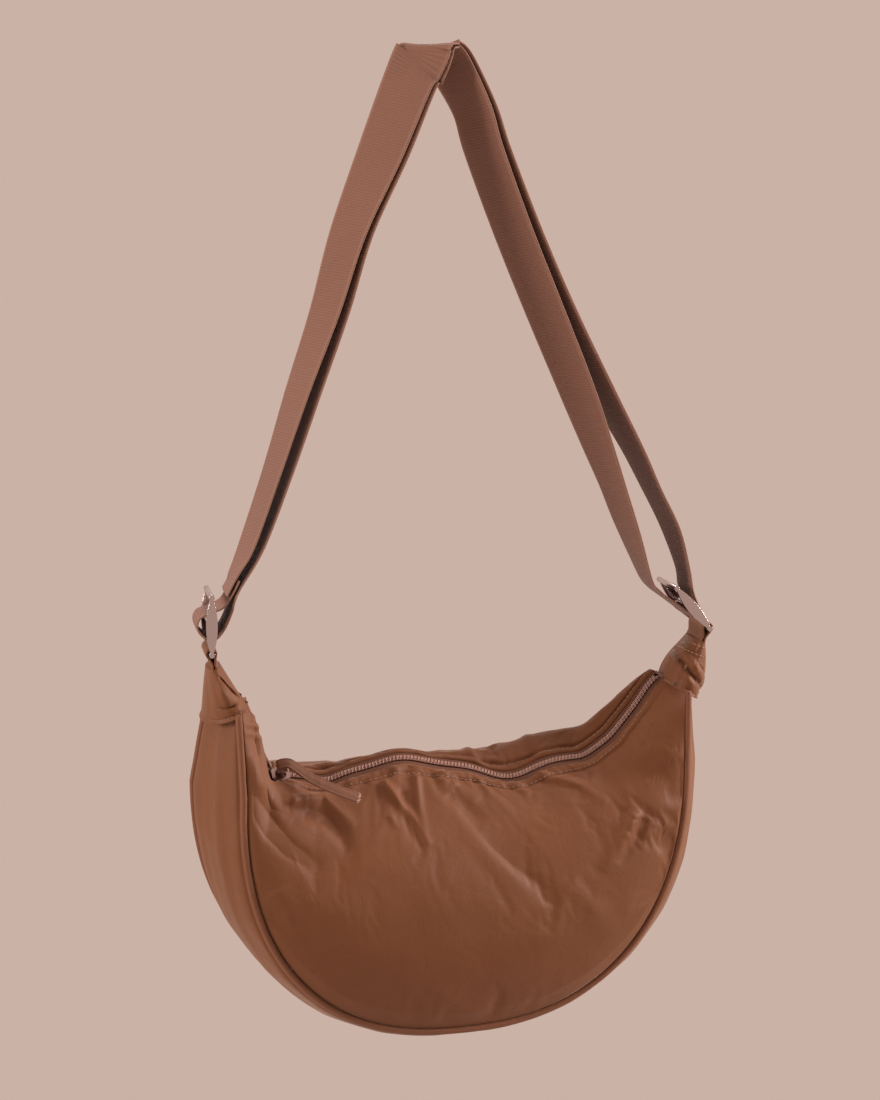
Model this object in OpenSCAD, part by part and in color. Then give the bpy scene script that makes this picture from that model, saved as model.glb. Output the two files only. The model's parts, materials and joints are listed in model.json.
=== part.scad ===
// Crescent shoulder bag with a curved top zip and a doubled webbing strap.
// Millimetres. +X is to the viewer's right, +Y to the back, +Z up.
// The origin is where the strap rests on the hook: the underside of its fold.

/* [Body] */
// Half width of the front panel, centre to piping
front_half_w = 146; // [130:1:160]
// How much wider the back panel is than the front one, at each side
back_extra = 18; // [0:1:24]
// Height of the round lower outline, from its widest line to its lowest point
round_h = 155; // [130:1:175]
// Depth between the two pipings at the bottom
bottom_depth = 72; // [60:1:90]
// How far the full panels swell past the straight line from zip to piping
panel_swell = 23; // [12:1:32]
// How far the gusset swells outwards between the two pipings, at its left end
left_gusset_swell = 5; // [3:1:12]
// How far it swells at its right end
right_gusset_swell = 12; // [3:1:14]
// Thickness of the padded shell cloth
shell_t = 1.6; // [1:0.1:2.4]
// Diameter of the piping
piping_d = 4.2; // [3:0.1:5]
// Thickness of the lining cloth
lining_t = 0.8; // [0.5:0.1:1.2]

/* [Zip] */
// Distance from the front panel's side in to the end of the zip
zip_end_in = 5; // [2:1:10]
// Width over which the zip climbs at its left end
zip_climb_left = 19; // [15:1:31]
// Width over which the zip climbs at its right end
zip_climb_right = 56; // [31:1:58]
// How far the zip is turned towards the front, about its own line
zip_tilt = 45; // [0:1:50]
// How far the zip climbs at its two ends
zip_rise = 53; // [35:1:56]
// Distance from one tooth to the next on one side
tooth_pitch = 3.2; // [3:0.1:4]
// Diameter of one coil tooth
tooth_d = 1.2; // [1.1:0.1:1.5]
// Width of the zip slider
zip_slider_w = 9.2; // [8:0.1:10]
// Length of the zip slider
zip_slider_len = 11.5; // [10:0.1:13]
// Width of the cloth pull
pull_w = 6.6; // [5:0.2:8]

/* [Strap] */
// Height of the hang point above the level stretch of the zip
strap_drop = 442; // [400:1:520]
// How far the hang point lies left of the bag's centre
hang_offset = 20; // [0:1:30]
// Width of the webbing
webbing_w = 38; // [36:1:40]
// Thickness of the webbing
webbing_t = 1.6; // [1.2:0.1:2]
// Distance from the zip's end out to the left strap slider
left_slider_out = 19; // [15:1:23]
// Distance from the zip's end out to the right strap slider
right_slider_out = 14; // [11:1:19]
// Height of the left strap slider above the level stretch of the zip
left_slider_rise = 98; // [94:1:104]
// Height of the right strap slider above the level stretch of the zip
right_slider_rise = 96; // [92:1:102]
// Height of a strap slider's frame
slider_h = 38; // [36:1:42]
// Width of the side rails, seen from the end, at their middle
rail_w = 7; // [5:0.1:8]
// Thickness of a side rail
rail_t = 3.2; // [2.6:0.1:4]
// Diameter of the outer bars
bar_d = 3.4; // [3:0.1:4]

/* [Hidden] */

cloth = [0.50, 0.31, 0.22];
cloth_dark = [0.42, 0.26, 0.18];
thread = [0.60, 0.42, 0.34];
webbing = [0.47, 0.29, 0.22];
metal = [0.80, 0.80, 0.82];

back_half_w = front_half_w + back_extra;
zip_half_span = front_half_w - zip_end_in;
zip_level_left = zip_half_span - zip_climb_left;
zip_level_right = zip_half_span - zip_climb_right;
left_slider_reach = zip_half_span + left_slider_out;
right_slider_reach = zip_half_span + right_slider_out;

// Clearance between two cloth solids that lie on each other
cloth_gap = 0.4;
// Running clearance of the zip slider and its ring
run_gap = 0.3;

// Columns of the lofted shells: two climbing ends and the level stretch of the zip
left_cols = 5;
level_cols = 19;
right_cols = 6;
cols = left_cols + level_cols + right_cols;
// Columns along each straight side of the outline; the rest go round the bottom
side_cols = 3;
arc_cols = cols - 2 * side_cols;

// The outline: a superellipse below its widest line, straight sides above
round_power = 0.851;
widest_z = -5;
back_round_extra = 2;
// The filled bag twists a little: its front bottom hangs left, its back bottom right
bottom_sway = 8;

// The cap seams: one tilted, yawed ellipse at each end closes the bag
cap_out = 11;
cap_x = zip_half_span + cap_out;
cap_z = 44;
cap_half_x = 13;
cap_half_y = 23;
cap_tilt = 28;
cap_yaw = 10;
cap_depth = 2 * cap_half_y;
depth_power = 0.8;

// The zip's rim: where the folded panel edge lies on the tape
rim_y = 6.8;
rim_h = 2.8;
tape_t = 0.6;
tape_inner_y = 2;
tape_outer_y = 6.4;
climb_power = 1.2;

function lerp(a, b, t) = a + (b - a) * t;
function unit(v) = v / norm(v);
function flat(rows) = [for (r = rows) each r];

// Puts the bag's own frame, at the level stretch of the zip, under the hang point
module at_bag() translate([hang_offset, 0, -strap_drop]) children();

// A point of the left (-1) or right (1) cap seam; 0 is outwards and -90 is the front
function cap_point(end, a) =
    let (out = [cos(cap_yaw) * cos(cap_tilt), -sin(cap_yaw) * cos(cap_tilt), -sin(cap_tilt)],
         back = [sin(cap_yaw), cos(cap_yaw), 0],
         p = [cap_x, 0, cap_z] + cap_half_x * cos(a) * out + cap_half_y * sin(a) * back)
    [end * p[0], p[1], p[2]];
function cap_axis(end) =
    let (n = [sin(cap_tilt) * cos(cap_yaw), -sin(cap_tilt) * sin(cap_yaw), cos(cap_tilt)])
    [end * n[0], n[1], n[2]];

// Cloth that would pass a cap seam is trimmed at it
cap_gap = 0.4;
function trimmed(p) =
    let (end = p[0] < 0 ? -1 : 1, n = cap_axis(end),
         over = (p - [end * cap_x, 0, cap_z]) * n + cap_gap)
    p - max(0, over) * n;

// The zip's centre line at column j
function climb(x, level) =
    zip_rise * pow(max(0, (abs(x) - level) / (zip_half_span - level)), climb_power);
function zip_x(j) =
    j <= left_cols ? lerp(-zip_half_span, -zip_level_left, j / left_cols)
    : j <= left_cols + level_cols
        ? lerp(-zip_level_left, zip_level_right, (j - left_cols) / level_cols)
        : lerp(zip_level_right, zip_half_span, (j - left_cols - level_cols) / right_cols);
function zip_point(j) =
    let (x = zip_x(j)) [x, 0, climb(x, x < 0 ? zip_level_left : zip_level_right)];
function zip_up(j) =
    let (a = zip_point(max(0, j - 1)), b = zip_point(min(cols, j + 1)), t = unit(b - a))
    [-t[2], 0, t[0]];
// The tilt grows from nothing over the climb at the left, where the end is closed
function tilt_at(x) = zip_tilt * min(1, max(0, x + zip_half_span) / zip_climb_left);
// A point beside the line: y across the tilted zip, h above it
function zip_offset(j, y, h) =
    let (tilt = tilt_at(zip_x(j)))
    zip_point(j) + (y * cos(tilt) - h * sin(tilt)) * [0, 1, 0]
        + (y * sin(tilt) + h * cos(tilt)) * zip_up(j);

// The piping's centre line at column j of the front (-1) or back (1)
function side_end(side) = side < 0 ? -90 : 90;
function outline_raw(j, side) =
    let (half_w = side < 0 ? front_half_w : back_half_w,
         high = side < 0 ? round_h : round_h + back_round_extra,
         k = min(max(j - side_cols, 0), arc_cols),
         a = 180 * k / arc_cols,
         x = -half_w * sign(cos(a)) * pow(abs(cos(a)), round_power)
             + side * bottom_sway * sin(a),
         z = widest_z - high * pow(abs(sin(a)), round_power),
         end = j < side_cols ? -1 : 1,
         share = j < side_cols ? 1 - j / side_cols
             : j > cols - side_cols ? 1 - (cols - j) / side_cols : 0,
         top = cap_point(end, side_end(side)))
    share > 0 ? [lerp(end * half_w, top[0], share), lerp(widest_z, top[2], share)] : [x, z];
function depth_at(z) =
    lerp(cap_depth, bottom_depth,
        pow(max(0, (cap_z - z) / (cap_z - widest_z + round_h)), depth_power));
function outline(j, side) =
    let (p = outline_raw(j, side)) [p[0], side * depth_at(p[1]) / 2, p[1]];
function outline_in(j, side) =
    let (a = outline_raw(max(0, j - 1), side), b = outline_raw(min(cols, j + 1), side),
         t = unit(b - a))
    [-t[1], 0, t[0]];

// A lofted panel: row share v runs from the zip's rim, 0, to the piping, 1
seam_gap = 0.65;
seam_in = piping_d / 2 + seam_gap;
swell_power = 0.8;
swell_skew = 0.75;
front_row_power = 0.92;
back_row_power = 1.3;
// Soft humps of cloth beside the zip: all along the back, with a fuller one at its
// right, and a fold that stands up in front of the closed end
back_hump = 11;
back_right_hump = 8;
right_hump_power = 5;
front_fold = 12;
hump_share = 0.3;
fold_share = 0.22;
fold_cols = 7;
function fullness(j) = pow(sin(180 * (j + 0.3) / (cols + 0.6)), 0.7);
function hump_at(j, v, side) = side < 0
    ? front_fold * sin(180 * min(1, j / fold_cols)) * sin(180 * min(1, v / fold_share))
    : (back_hump * fullness(j) + back_right_hump * sin(180 * pow(j / cols, right_hump_power)))
        * sin(180 * min(1, v / hump_share));
function panel_point(j, v, side) =
    let (rim = zip_offset(j, side * rim_y, rim_h),
         foot = outline(j, side) + seam_in * outline_in(j, side) + [0, side * shell_t / 2, 0],
         w = pow(v, side < 0 ? front_row_power : back_row_power),
         swell = panel_swell * pow(sin(180 * pow(v, swell_skew)), swell_power) * fullness(j),
         hump = hump_at(j, v, side))
    trimmed([lerp(rim[0], foot[0], w),
             lerp(rim[1], foot[1], v) + side * swell,
             lerp(rim[2], foot[2], w) + hump]);

panel_shares = [0, 0.05, 0.13, 0.24, 0.38, 0.54, 0.70, 0.84, 0.94, 1];
function panel_grid(side, shares) =
    [for (v = shares) [for (j = [0:cols]) panel_point(j, v, side)]];

// The cloth's normal at each place of a grid, from its neighbours
function grid_normal(g, i, j, turn) =
    let (a = g[max(0, i - 1)][j], b = g[min(len(g) - 1, i + 1)][j],
         c = g[i][max(0, j - 1)], d = g[i][min(len(g[0]) - 1, j + 1)])
    turn * unit(cross(b - a, d - c));
function offset_grid(g, depth, turn, slack = 0) =
    [for (i = [0:len(g) - 1]) [for (j = [0:len(g[0]) - 1])
        g[i][j] - (depth + slack * max(0, 1 - i / 2)) * grid_normal(g, i, j, turn)]];

// A closed sheet between an outer and an inner grid of the same size
function quad(a, b, c, d) = [[a, b, c], [a, c, d]];
function grid_faces(n, m, at, flip) =
    [for (i = [0:n - 2]) for (j = [0:m - 2])
        each let (a = at + i * m + j, b = a + 1, c = a + m + 1, d = a + m)
            flip ? quad(a, d, c, b) : quad(a, b, c, d)];
function edge_faces(ring, k, flip) =
    [for (e = [0:len(ring) - 1])
        each let (a = ring[e], b = ring[(e + 1) % len(ring)])
            flip ? quad(a, b, b + k, a + k) : quad(a, a + k, b + k, b)];
module sheet(outer, inner, flip) {
    n = len(outer);
    m = len(outer[0]);
    k = n * m;
    ring = concat([for (j = [0:m - 2]) j], [for (i = [0:n - 2]) i * m + m - 1],
        [for (j = [m - 1:-1:1]) (n - 1) * m + j], [for (i = [n - 1:-1:1]) i * m]);
    polyhedron(flat([flat(outer), flat(inner)]),
        concat(grid_faces(n, m, 0, flip), grid_faces(n, m, k, !flip), edge_faces(ring, k, flip)));
}

// A bar swept through closed rings of points, with flat ends
module rings_solid(rings, flip = false) {
    n = len(rings);
    m = len(rings[0]);
    start = [for (i = [0:m - 1]) i];
    end = [for (i = [0:m - 1]) (n - 1) * m + i];
    sides = [for (r = [0:n - 2]) for (i = [0:m - 1])
        each let (a = r * m + i, b = r * m + (i + 1) % m, c = b + m, d = a + m)
            flip ? quad(a, d, c, b) : quad(a, b, c, d)];
    function turned(f) = [for (i = [len(f) - 1:-1:0]) f[i]];
    polyhedron(flat(rings),
        concat(sides, [flip ? start : turned(start)], [flip ? turned(end) : end]));
}

function trim_grid(g) = [for (r = g) [for (p = r) trimmed(p)]];
function first_rows(g) = [for (i = [0:len(g) - 2]) g[i]];
module shell(side) {
    g = panel_grid(side, panel_shares);
    foot = [for (p = g[len(g) - 1]) p - [0, side * shell_t, 0]];
    sheet(g, trim_grid(concat(first_rows(offset_grid(g, shell_t, -side)), [foot])), side > 0);
}

module front_panel() color(cloth) at_bag() shell(-1);
module back_panel() color(cloth) at_bag() shell(1);

// The gusset between the pipings: row share w runs from front to back
gusset_shares = [0, 0.12, 0.3, 0.5, 0.7, 0.88, 1];
gusset_power = 0.6;
function gusset_point(j, w) =
    let (a = outline(j, -1) + [0, seam_in, 0], b = outline(j, 1) - [0, seam_in, 0],
         out = -unit(outline_in(j, -1) + outline_in(j, 1)),
         swell = lerp(left_gusset_swell, right_gusset_swell, j / cols),
         stand = shell_t / 2 + swell * pow(sin(180 * w), gusset_power) * pow(fullness(j), 0.5))
    trimmed(lerp(a, b, w) + stand * out);
function gusset_grid(shares) =
    [for (w = shares) [for (j = [0:cols]) gusset_point(j, w)]];
module gusset() color(cloth) at_bag() {
    g = gusset_grid(gusset_shares);
    sheet(g, trim_grid(offset_grid(g, shell_t, 1)), false);
}

// Piping: a covered cord with its flange caught in the seam
flange_len = 3.4;
flange_t = 0.8;
cord_angles = [80, 125, 170, 225, 280, 325, 370];
function piping_ring(j, side) =
    let (c = outline(j, side), inward = outline_in(j, side), across = [0, -side, 0],
         diagonal = unit(inward + across), aside = unit(inward - across))
    [for (p = concat([for (a = cord_angles)
                          c + piping_d / 2 * (cos(a) * inward + sin(a) * across)],
                [c + flange_len * diagonal + flange_t / 2 * aside,
                 c + flange_len * diagonal - flange_t / 2 * aside])) trimmed(p)];
module piping(side)
    rings_solid([for (j = [0:cols]) piping_ring(j, side)], side > 0);
module front_piping() color(cloth_dark) at_bag() piping(-1);
module back_piping() color(cloth_dark) at_bag() piping(1);

// The lining hangs inside the shell, caught under the zip tape
lining_shares = [0.05, 0.13, 0.24, 0.38, 0.54, 0.70, 0.84, 0.97];
lining_gusset_shares = [0.12, 0.3, 0.5, 0.7, 0.88];
lining_in = shell_t + cloth_gap;
lining_inset = 5;
lining_slack = 1.5;
function lining_reach(j, side) =
    1 - min(0.4, lining_inset / norm(panel_point(j, 1, side) - panel_point(j, 0, side)));
function lining_base(side) =
    [for (v = lining_shares) [for (j = [0:cols])
        panel_point(j, v == lining_shares[len(lining_shares) - 1] ? lining_reach(j, side)
            : min(v, lining_reach(j, side) - 0.03 * (1 - v)), side)]];
function lining_grid(side, deeper) =
    trim_grid(concat([[for (j = [0:cols])
            zip_offset(j, side * rim_y, -tape_t / 2 - cloth_gap - deeper)]],
        offset_grid(lining_base(side), lining_in + deeper, -side, lining_slack)));
module lining(side)
    sheet(lining_grid(side, 0), lining_grid(side, lining_t), side > 0);
module lining_front() color(cloth_dark) at_bag() lining(-1);
module lining_back() color(cloth_dark) at_bag() lining(1);
module lining_gusset() color(cloth_dark) at_bag() {
    g = gusset_grid(lining_gusset_shares);
    sheet(trim_grid(offset_grid(g, lining_in, 1)),
        trim_grid(offset_grid(g, lining_in + lining_t, 1)), false);
}

// A slip pocket on the back lining
pocket_shares = [0.24, 0.38, 0.54, 0.70];
pocket_left_cols = 11;
pocket_right_cols = 19;
function pocket_grid(deeper) =
    let (g = offset_grid(panel_grid(1, pocket_shares), deeper, -1))
    [for (r = g) [for (j = [pocket_left_cols:pocket_right_cols]) r[j]]];
module inner_pocket() color(cloth_dark) at_bag() {
    in = lining_in + lining_t + 1.5 * cloth_gap;
    sheet(pocket_grid(in), pocket_grid(in + lining_t), true);
}

// Zip tapes, one each side of the coil
function tape_ring(j, side) =
    [trimmed(zip_offset(j, side * tape_inner_y, -tape_t / 2)),
     trimmed(zip_offset(j, side * tape_outer_y, -tape_t / 2)),
     trimmed(zip_offset(j, side * tape_outer_y, tape_t / 2)),
     trimmed(zip_offset(j, side * tape_inner_y, tape_t / 2))];
module tape(side)
    rings_solid([for (j = [0:cols]) tape_ring(j, side)], side > 0);
module zip_tape_front() color(thread) at_bag() tape(-1);
module zip_tape_back() color(thread) at_bag() tape(1);

// Coil teeth: round bars that mesh past the centre line, set along the zip. They begin
// behind the wedge of the slider, which rests against the top stops
rest_x = -zip_level_left + zip_slider_len / 2 + run_gap;
wedge_len = zip_slider_len / 5;
coil_start = rest_x - zip_slider_len / 2 + wedge_len + tooth_d;
stop_len = 3;
stop_w = 2.4;
stop_h = 1.7;
stop_lift = 0.7;
tooth_reach = 3.2;
tooth_mesh = 0.9;
tooth_lift = 0.12;
tooth_h = tape_t / 2 + tooth_d / 2 + tooth_lift;
zip_table = [for (j = [0:cols]) [zip_x(j), zip_point(j)[2]]];
function zip_climb(x) = lookup(x, zip_table);
slope_step = 0.5;
function zip_slope(x) =
    atan2(zip_climb(x + slope_step) - zip_climb(x - slope_step), 2 * slope_step);
// Places at even steps of the arc length, walked along the centre line
function walk(x, step) = x + step * cos(zip_slope(x + step / 2));
function teeth_from(x, last) = x > last ? [] : concat([x], teeth_from(walk(x, tooth_pitch), last));
module on_zip(x)
    translate([x, 0, zip_climb(x)]) rotate([tilt_at(x), -zip_slope(x), 0]) children();
module tooth(x, side)
    on_zip(x) translate([0, -side * tooth_mesh, tooth_h]) rotate([-side * 90, 0, 0])
            cylinder(d = tooth_d, h = tooth_reach + tooth_mesh, $fn = 16);
module coil(side, first) {
    last = zip_half_span - stop_len - tooth_d;
    for (x = teeth_from(first, last)) tooth(x, side);
}
module zip_coil_front() color(thread) at_bag() coil(-1, coil_start);
module zip_coil_back() color(thread) at_bag() coil(1, walk(coil_start, tooth_pitch / 2));

// Stops: one on each tape at the closed end, one across both at the other
module zip_top_stops() color(metal) at_bag() on_zip(-zip_level_left - stop_len)
    for (side = [-1, 1])
        translate([-stop_len / 2, side * (tape_inner_y + stop_w / 2) - stop_w / 2, stop_lift])
            cube([stop_len, stop_w, stop_h]);
module zip_bottom_stop() color(metal) at_bag() on_zip(zip_half_span - stop_len)
    translate([0, -tooth_reach, stop_lift]) cube([stop_len / 2, 2 * tooth_reach, stop_h]);

// Zip slider: two plates round the coil, joined by a wedge at the nose, and a bridge on top
plate_t = 1.2;
top_plate_h = tape_t / 2 + tooth_lift + tooth_d + run_gap;
bottom_plate_h = -tape_t / 2 - run_gap;
wedge_w = 3;
flange_side_t = 0.7;
bridge_w = 2.6;
bridge_t = 1;
ring_d = 1.2;
bridge_open = ring_d + 2 * run_gap;
nose_share = 0.62;
plate_shares = [[-0.5, 0.62], [-0.36, 1], [0.1, 1], [0.5, 0.72], [0.5, -0.72], [0.1, -1],
    [-0.36, -1], [-0.5, -0.62]];
module plate()
    linear_extrude(plate_t)
        polygon([for (p = plate_shares) [p[0] * zip_slider_len, p[1] * zip_slider_w / 2]]);
bridge_len = zip_slider_len * nose_share;
bridge_z = top_plate_h + plate_t;
module zip_slider() color(metal) at_bag() on_zip(rest_x) {
    translate([0, 0, top_plate_h]) plate();
    translate([0, 0, bottom_plate_h - plate_t]) plate();
    translate([-zip_slider_len / 2, 0, bottom_plate_h])
        linear_extrude(top_plate_h - bottom_plate_h)
            polygon([[0, -wedge_w / 2], [wedge_len, 0], [0, wedge_w / 2]]);
    for (side = [-1, 1])
        translate([-zip_slider_len / 3, side * (zip_slider_w - flange_side_t) / 2
                - flange_side_t / 2, tape_t / 2 + run_gap])
            cube([zip_slider_len / 2, flange_side_t, top_plate_h - tape_t / 2 - run_gap]);
    translate([-bridge_len / 2, bridge_w / 2, bridge_z]) rotate([90, 0, 0])
        linear_extrude(bridge_w) difference() {
            polygon([[0, 0], [bridge_t, bridge_open + bridge_t],
                [bridge_len - bridge_t, bridge_open + bridge_t], [bridge_len, 0]]);
            translate([bridge_t * 1.6, 0]) square([bridge_len - 3.2 * bridge_t, bridge_open]);
        }
}

// Pull ring: a flat stamped loop through the bridge, standing up, leaning to the left
ring_lean = 100;
ring_w = pull_w + 2 * ring_d + 2 * run_gap;
ring_corner = 1.6;
ring_len = 8;
ring_z = bridge_z + bridge_open / 2;
module at_ring()
    at_bag() on_zip(rest_x) translate([0, 0, ring_z]) rotate([0, -ring_lean, 0]) children();
module pull_ring() color(metal) at_ring() {
    high = ring_len + ring_d;
    wide = ring_w - 2 * ring_d;
    linear_extrude(ring_d, center = true) difference() {
        union() {
            translate([-ring_d / 2, ring_corner - ring_w / 2]) square([high, ring_w - 2 * ring_corner]);
            translate([ring_corner - ring_d / 2, -ring_w / 2]) square([high - 2 * ring_corner, ring_w]);
            for (x = [ring_corner, high - ring_corner], side = [-1, 1])
                translate([x - ring_d / 2, side * (ring_w / 2 - ring_corner)])
                    circle(r = ring_corner, $fn = 32);
        }
        translate([ring_d / 2, -wide / 2]) square([ring_len - ring_d, wide]);
    }
}

// A smooth line through points, whose first three numbers are the place and the rest ride along
function smooth_at(p, i, t) =
    let (n = len(p) - 1, a = p[max(0, i - 1)], b = p[i], c = p[min(n, i + 1)], d = p[min(n, i + 2)])
    (2 * b + (c - a) * t + (2 * a - 5 * b + 4 * c - d) * t * t
        + (3 * b - a - 3 * c + d) * t * t * t) / 2;
function smooth(p, steps) =
    concat([for (i = [0:len(p) - 2]) for (k = [0:steps - 1]) smooth_at(p, i, k / steps)],
        [p[len(p) - 1]]);

// A flat band along a line of [x, y, z, turn]; turn rotates its width about Z, and a fifth
// number, where there is one, lifts its far side
function xyz(p) = [p[0], p[1], p[2]];
function band_ring(line, i, w, t) =
    let (a = xyz(line[max(0, i - 1)]), b = xyz(line[min(len(line) - 1, i + 1)]),
         along = unit(b - a),
         wish = [-sin(line[i][3]), cos(line[i][3]), len(line[i]) > 4 ? tan(line[i][4]) : 0],
         across = unit(wish - (wish * along) * along),
         up = cross(across, along), c = xyz(line[i]))
    [c - w / 2 * across - t / 2 * up, c + w / 2 * across - t / 2 * up,
     c + w / 2 * across + t / 2 * up, c - w / 2 * across + t / 2 * up];
module band(line, w, t)
    rings_solid([for (i = [0:len(line) - 1]) band_ring(line, i, w, t)]);
function line_length(p, i = 1) =
    i >= len(p) ? 0 : norm(xyz(p[i]) - xyz(p[i - 1])) + line_length(p, i + 1);

// Cloth pull: a folded strip whose end is tucked round the ring's far bar. It curls over
// the zip to the front. Its places are shares of its reach, then its width's turn and lift.
pull_reach = 55;
pull_t = 2;
pull_shares = [[0.078, -0.07, 0.03, 2, 40], [0.178, -0.13, -0.04, 12, 24],
    [0.287, -0.19, -0.12, 24, 10], [0.44, -0.26, -0.2, 32, 0], [0.605, -0.32, -0.27, 35, 0],
    [0.778, -0.36, -0.34, 36, 0]];
pull_in = ring_d / 2 + 2 * run_gap + pull_t / 2;
// Round the bar, in steps of that clearance: across the ring, then along it
pull_loop_shares = [[1.6, -1], [0, -1], [-1, 0], [0, 1]];
function tilted(p) = [p[0], p[1] * cos(zip_tilt) - p[2] * sin(zip_tilt),
    p[1] * sin(zip_tilt) + p[2] * cos(zip_tilt)];
ring_along = tilted([cos(ring_lean), 0, sin(ring_lean)]);
ring_across = tilted([sin(ring_lean), 0, -cos(ring_lean)]);
ring_tip = [rest_x, 0, 0] + tilted([0, 0, ring_z]) + ring_len * ring_along;
pull_line = concat(
    [for (s = pull_loop_shares) let (p = ring_tip + pull_in * (s[0] * ring_across + s[1] * ring_along))
        [p[0], p[1], p[2], 0, zip_tilt]],
    [for (s = pull_shares) let (p = ring_tip + pull_reach * [s[0], s[1], s[2]])
        [p[0], p[1], p[2], -s[3], s[4]]]);
module pull_tab() color(cloth) at_bag() band(smooth(pull_line, 3), pull_w, pull_t);

// End caps: cloth sleeves gathered from the cap seams to the tabs
cap_levels = 6;
cap_sides = 16;
cap_top_half_x = 4.5;
cap_top_half_y = 18;
cap_short = 9.5;
function slider_place(end) = end < 0 ? [-left_slider_reach, 0, left_slider_rise]
    : [right_slider_reach, 0, right_slider_rise];
// The left slider hangs straight and the right one leans; both are turned to the left
slider_tilts = [0, 40];
slider_turn = -10;
function tilt_of(end) = slider_tilts[end < 0 ? 0 : 1];
// Local slider frame: n is outwards through the frame, u is up along it
function turned_about_z(p, a) = [p[0] * cos(a) - p[1] * sin(a), p[0] * sin(a) + p[1] * cos(a), p[2]];
function in_slider(end, n, u) =
    let (a = tilt_of(end), d = [end * (n * cos(a) - u * sin(a)), 0, n * sin(a) + u * cos(a)])
    slider_place(end) + turned_about_z(d, slider_turn);
bar_u = slider_h / 2 - bar_d / 2;
function bar_place(end) = in_slider(end, 0, -bar_u);
function cap_top(end) =
    let (b = bar_place(end), low = [end * cap_x, 0, cap_z], d = unit(b - low)) b - cap_short * d;
function top_turn(end) =
    let (b = bar_place(end)) atan2(end * b[0] - cap_x, b[2] - cap_z);
function cap_ring(end, k) =
    let (share = k / cap_levels, ease = pow(share, 0.8),
         low = [end * cap_x, 0, cap_z], top = cap_top(end),
         c = lerp(low, top, share),
         turn = lerp(cap_tilt, top_turn(end), ease), yaw = lerp(cap_yaw, -end * slider_turn, ease),
         half_x = lerp(cap_half_x, cap_top_half_x, ease),
         half_y = lerp(cap_half_y, cap_top_half_y, ease),
         out = [cos(yaw) * cos(turn), -sin(yaw) * cos(turn), -sin(turn)],
         back = [sin(yaw), cos(yaw), 0])
    [for (i = [0:cap_sides - 1])
        let (a = 360 * i / cap_sides, d = half_x * cos(a) * out + half_y * sin(a) * back)
        c + [end * d[0], d[1], d[2]]];
module end_cap(end)
    rings_solid([for (k = [0:cap_levels]) cap_ring(end, k)], end > 0);
module left_end_cap() color(cloth) at_bag() end_cap(-1);
module right_end_cap() color(cloth) at_bag() end_cap(1);

// Tabs: a doubled cloth strip round the lower bar of each slider
tab_w = 36;
tab_t = 1.6;
tab_arc = 6;
tab_gap = 1;
module tab(end) {
    b = bar_place(end);
    foot = cap_top(end);
    up = unit(b - foot);
    side = cross([-sin(slider_turn), cos(slider_turn), 0], up);
    r = bar_d / 2 + cloth_gap + tab_t / 2;
    base = foot + tab_gap * up;
    near = tab_t / 2 + cloth_gap / 2;
    line = concat([base - near * side, lerp(base, b, 0.3) - near * side],
        [for (k = [0:tab_arc]) let (a = 200 - 220 * k / tab_arc) b + r * (cos(a) * side + sin(a) * up)],
        [lerp(base, b, 0.3) + near * side, base + near * side]);
    band([for (p = line) [p[0], p[1], p[2], slider_turn]], tab_w, tab_t);
}
module left_tab() color(cloth) at_bag() tab(-1);
module right_tab() color(cloth) at_bag() tab(1);

// Strap sliders: bowed side rails carry two round outer bars and a flat middle bar
webbing_play = 1;
inner_half = webbing_w / 2 + webbing_play;
middle_bar_d = 3.6;
rail_bow = rail_w / 2;
rail_r = (pow(slider_h / 2, 2) + pow(rail_bow, 2)) / (2 * rail_bow);
module rail()
    rotate([90, 0, 0]) linear_extrude(rail_t, center = true) union() {
        intersection() {
            translate([rail_r - rail_bow, 0]) circle(r = rail_r, $fn = 180);
            translate([rail_bow - rail_r, 0]) circle(r = rail_r, $fn = 180);
        }
        for (end = [-1, 1]) translate([0, end * bar_u]) circle(d = bar_d, $fn = 32);
    }
module cross_bar(u, d)
    translate([0, 0, u]) rotate([90, 0, 0])
        cylinder(d = d, h = 2 * inner_half + rail_t, center = true, $fn = 32);
module strap_slider(end)
    translate(slider_place(end)) rotate([0, -end * tilt_of(end), slider_turn]) {
        for (side = [-1, 1]) translate([0, side * (inner_half + rail_t / 2), 0]) rail();
        for (u = [-bar_u, bar_u]) cross_bar(u, bar_d);
        cross_bar(0, middle_bar_d);
    }
module left_slider() color(metal) at_bag() strap_slider(-1);
module right_slider() color(metal) at_bag() strap_slider(1);

// The webbing: one band, sewn to a loop through both sliders. Down each leg the places
// are shares of the way from hang point to slider: [across, down, layer gap, turn, turn];
// the gap is a share of the webbing's width, and the turns are for the inner and outer run.
left_leg_shares = [[0.094, 0.06, 0.08, 38, 38], [0.216, 0.184, 0.1, 32, 32],
    [0.36, 0.325, 0.12, 19, 19], [0.46, 0.463, 0.16, 12, 12], [0.576, 0.6, 0.2, 6, 6],
    [0.69, 0.7385, 0.2, 1, 1], [0.81, 0.87, 0.17, -2, -2]];
right_leg_shares = [[0.16, 0.107, 0.1, 20, 20], [0.21, 0.179, 0.13, 20, 20],
    [0.327, 0.318, 0.18, 20, 18], [0.458, 0.457, 0.26, 20, 14], [0.603, 0.6, 0.42, 17, 8],
    [0.712, 0.707, 0.6, 10, 1], [0.782, 0.781, 0.68, 4, -3], [0.85, 0.855, 0.78, 0, -4]];
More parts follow.
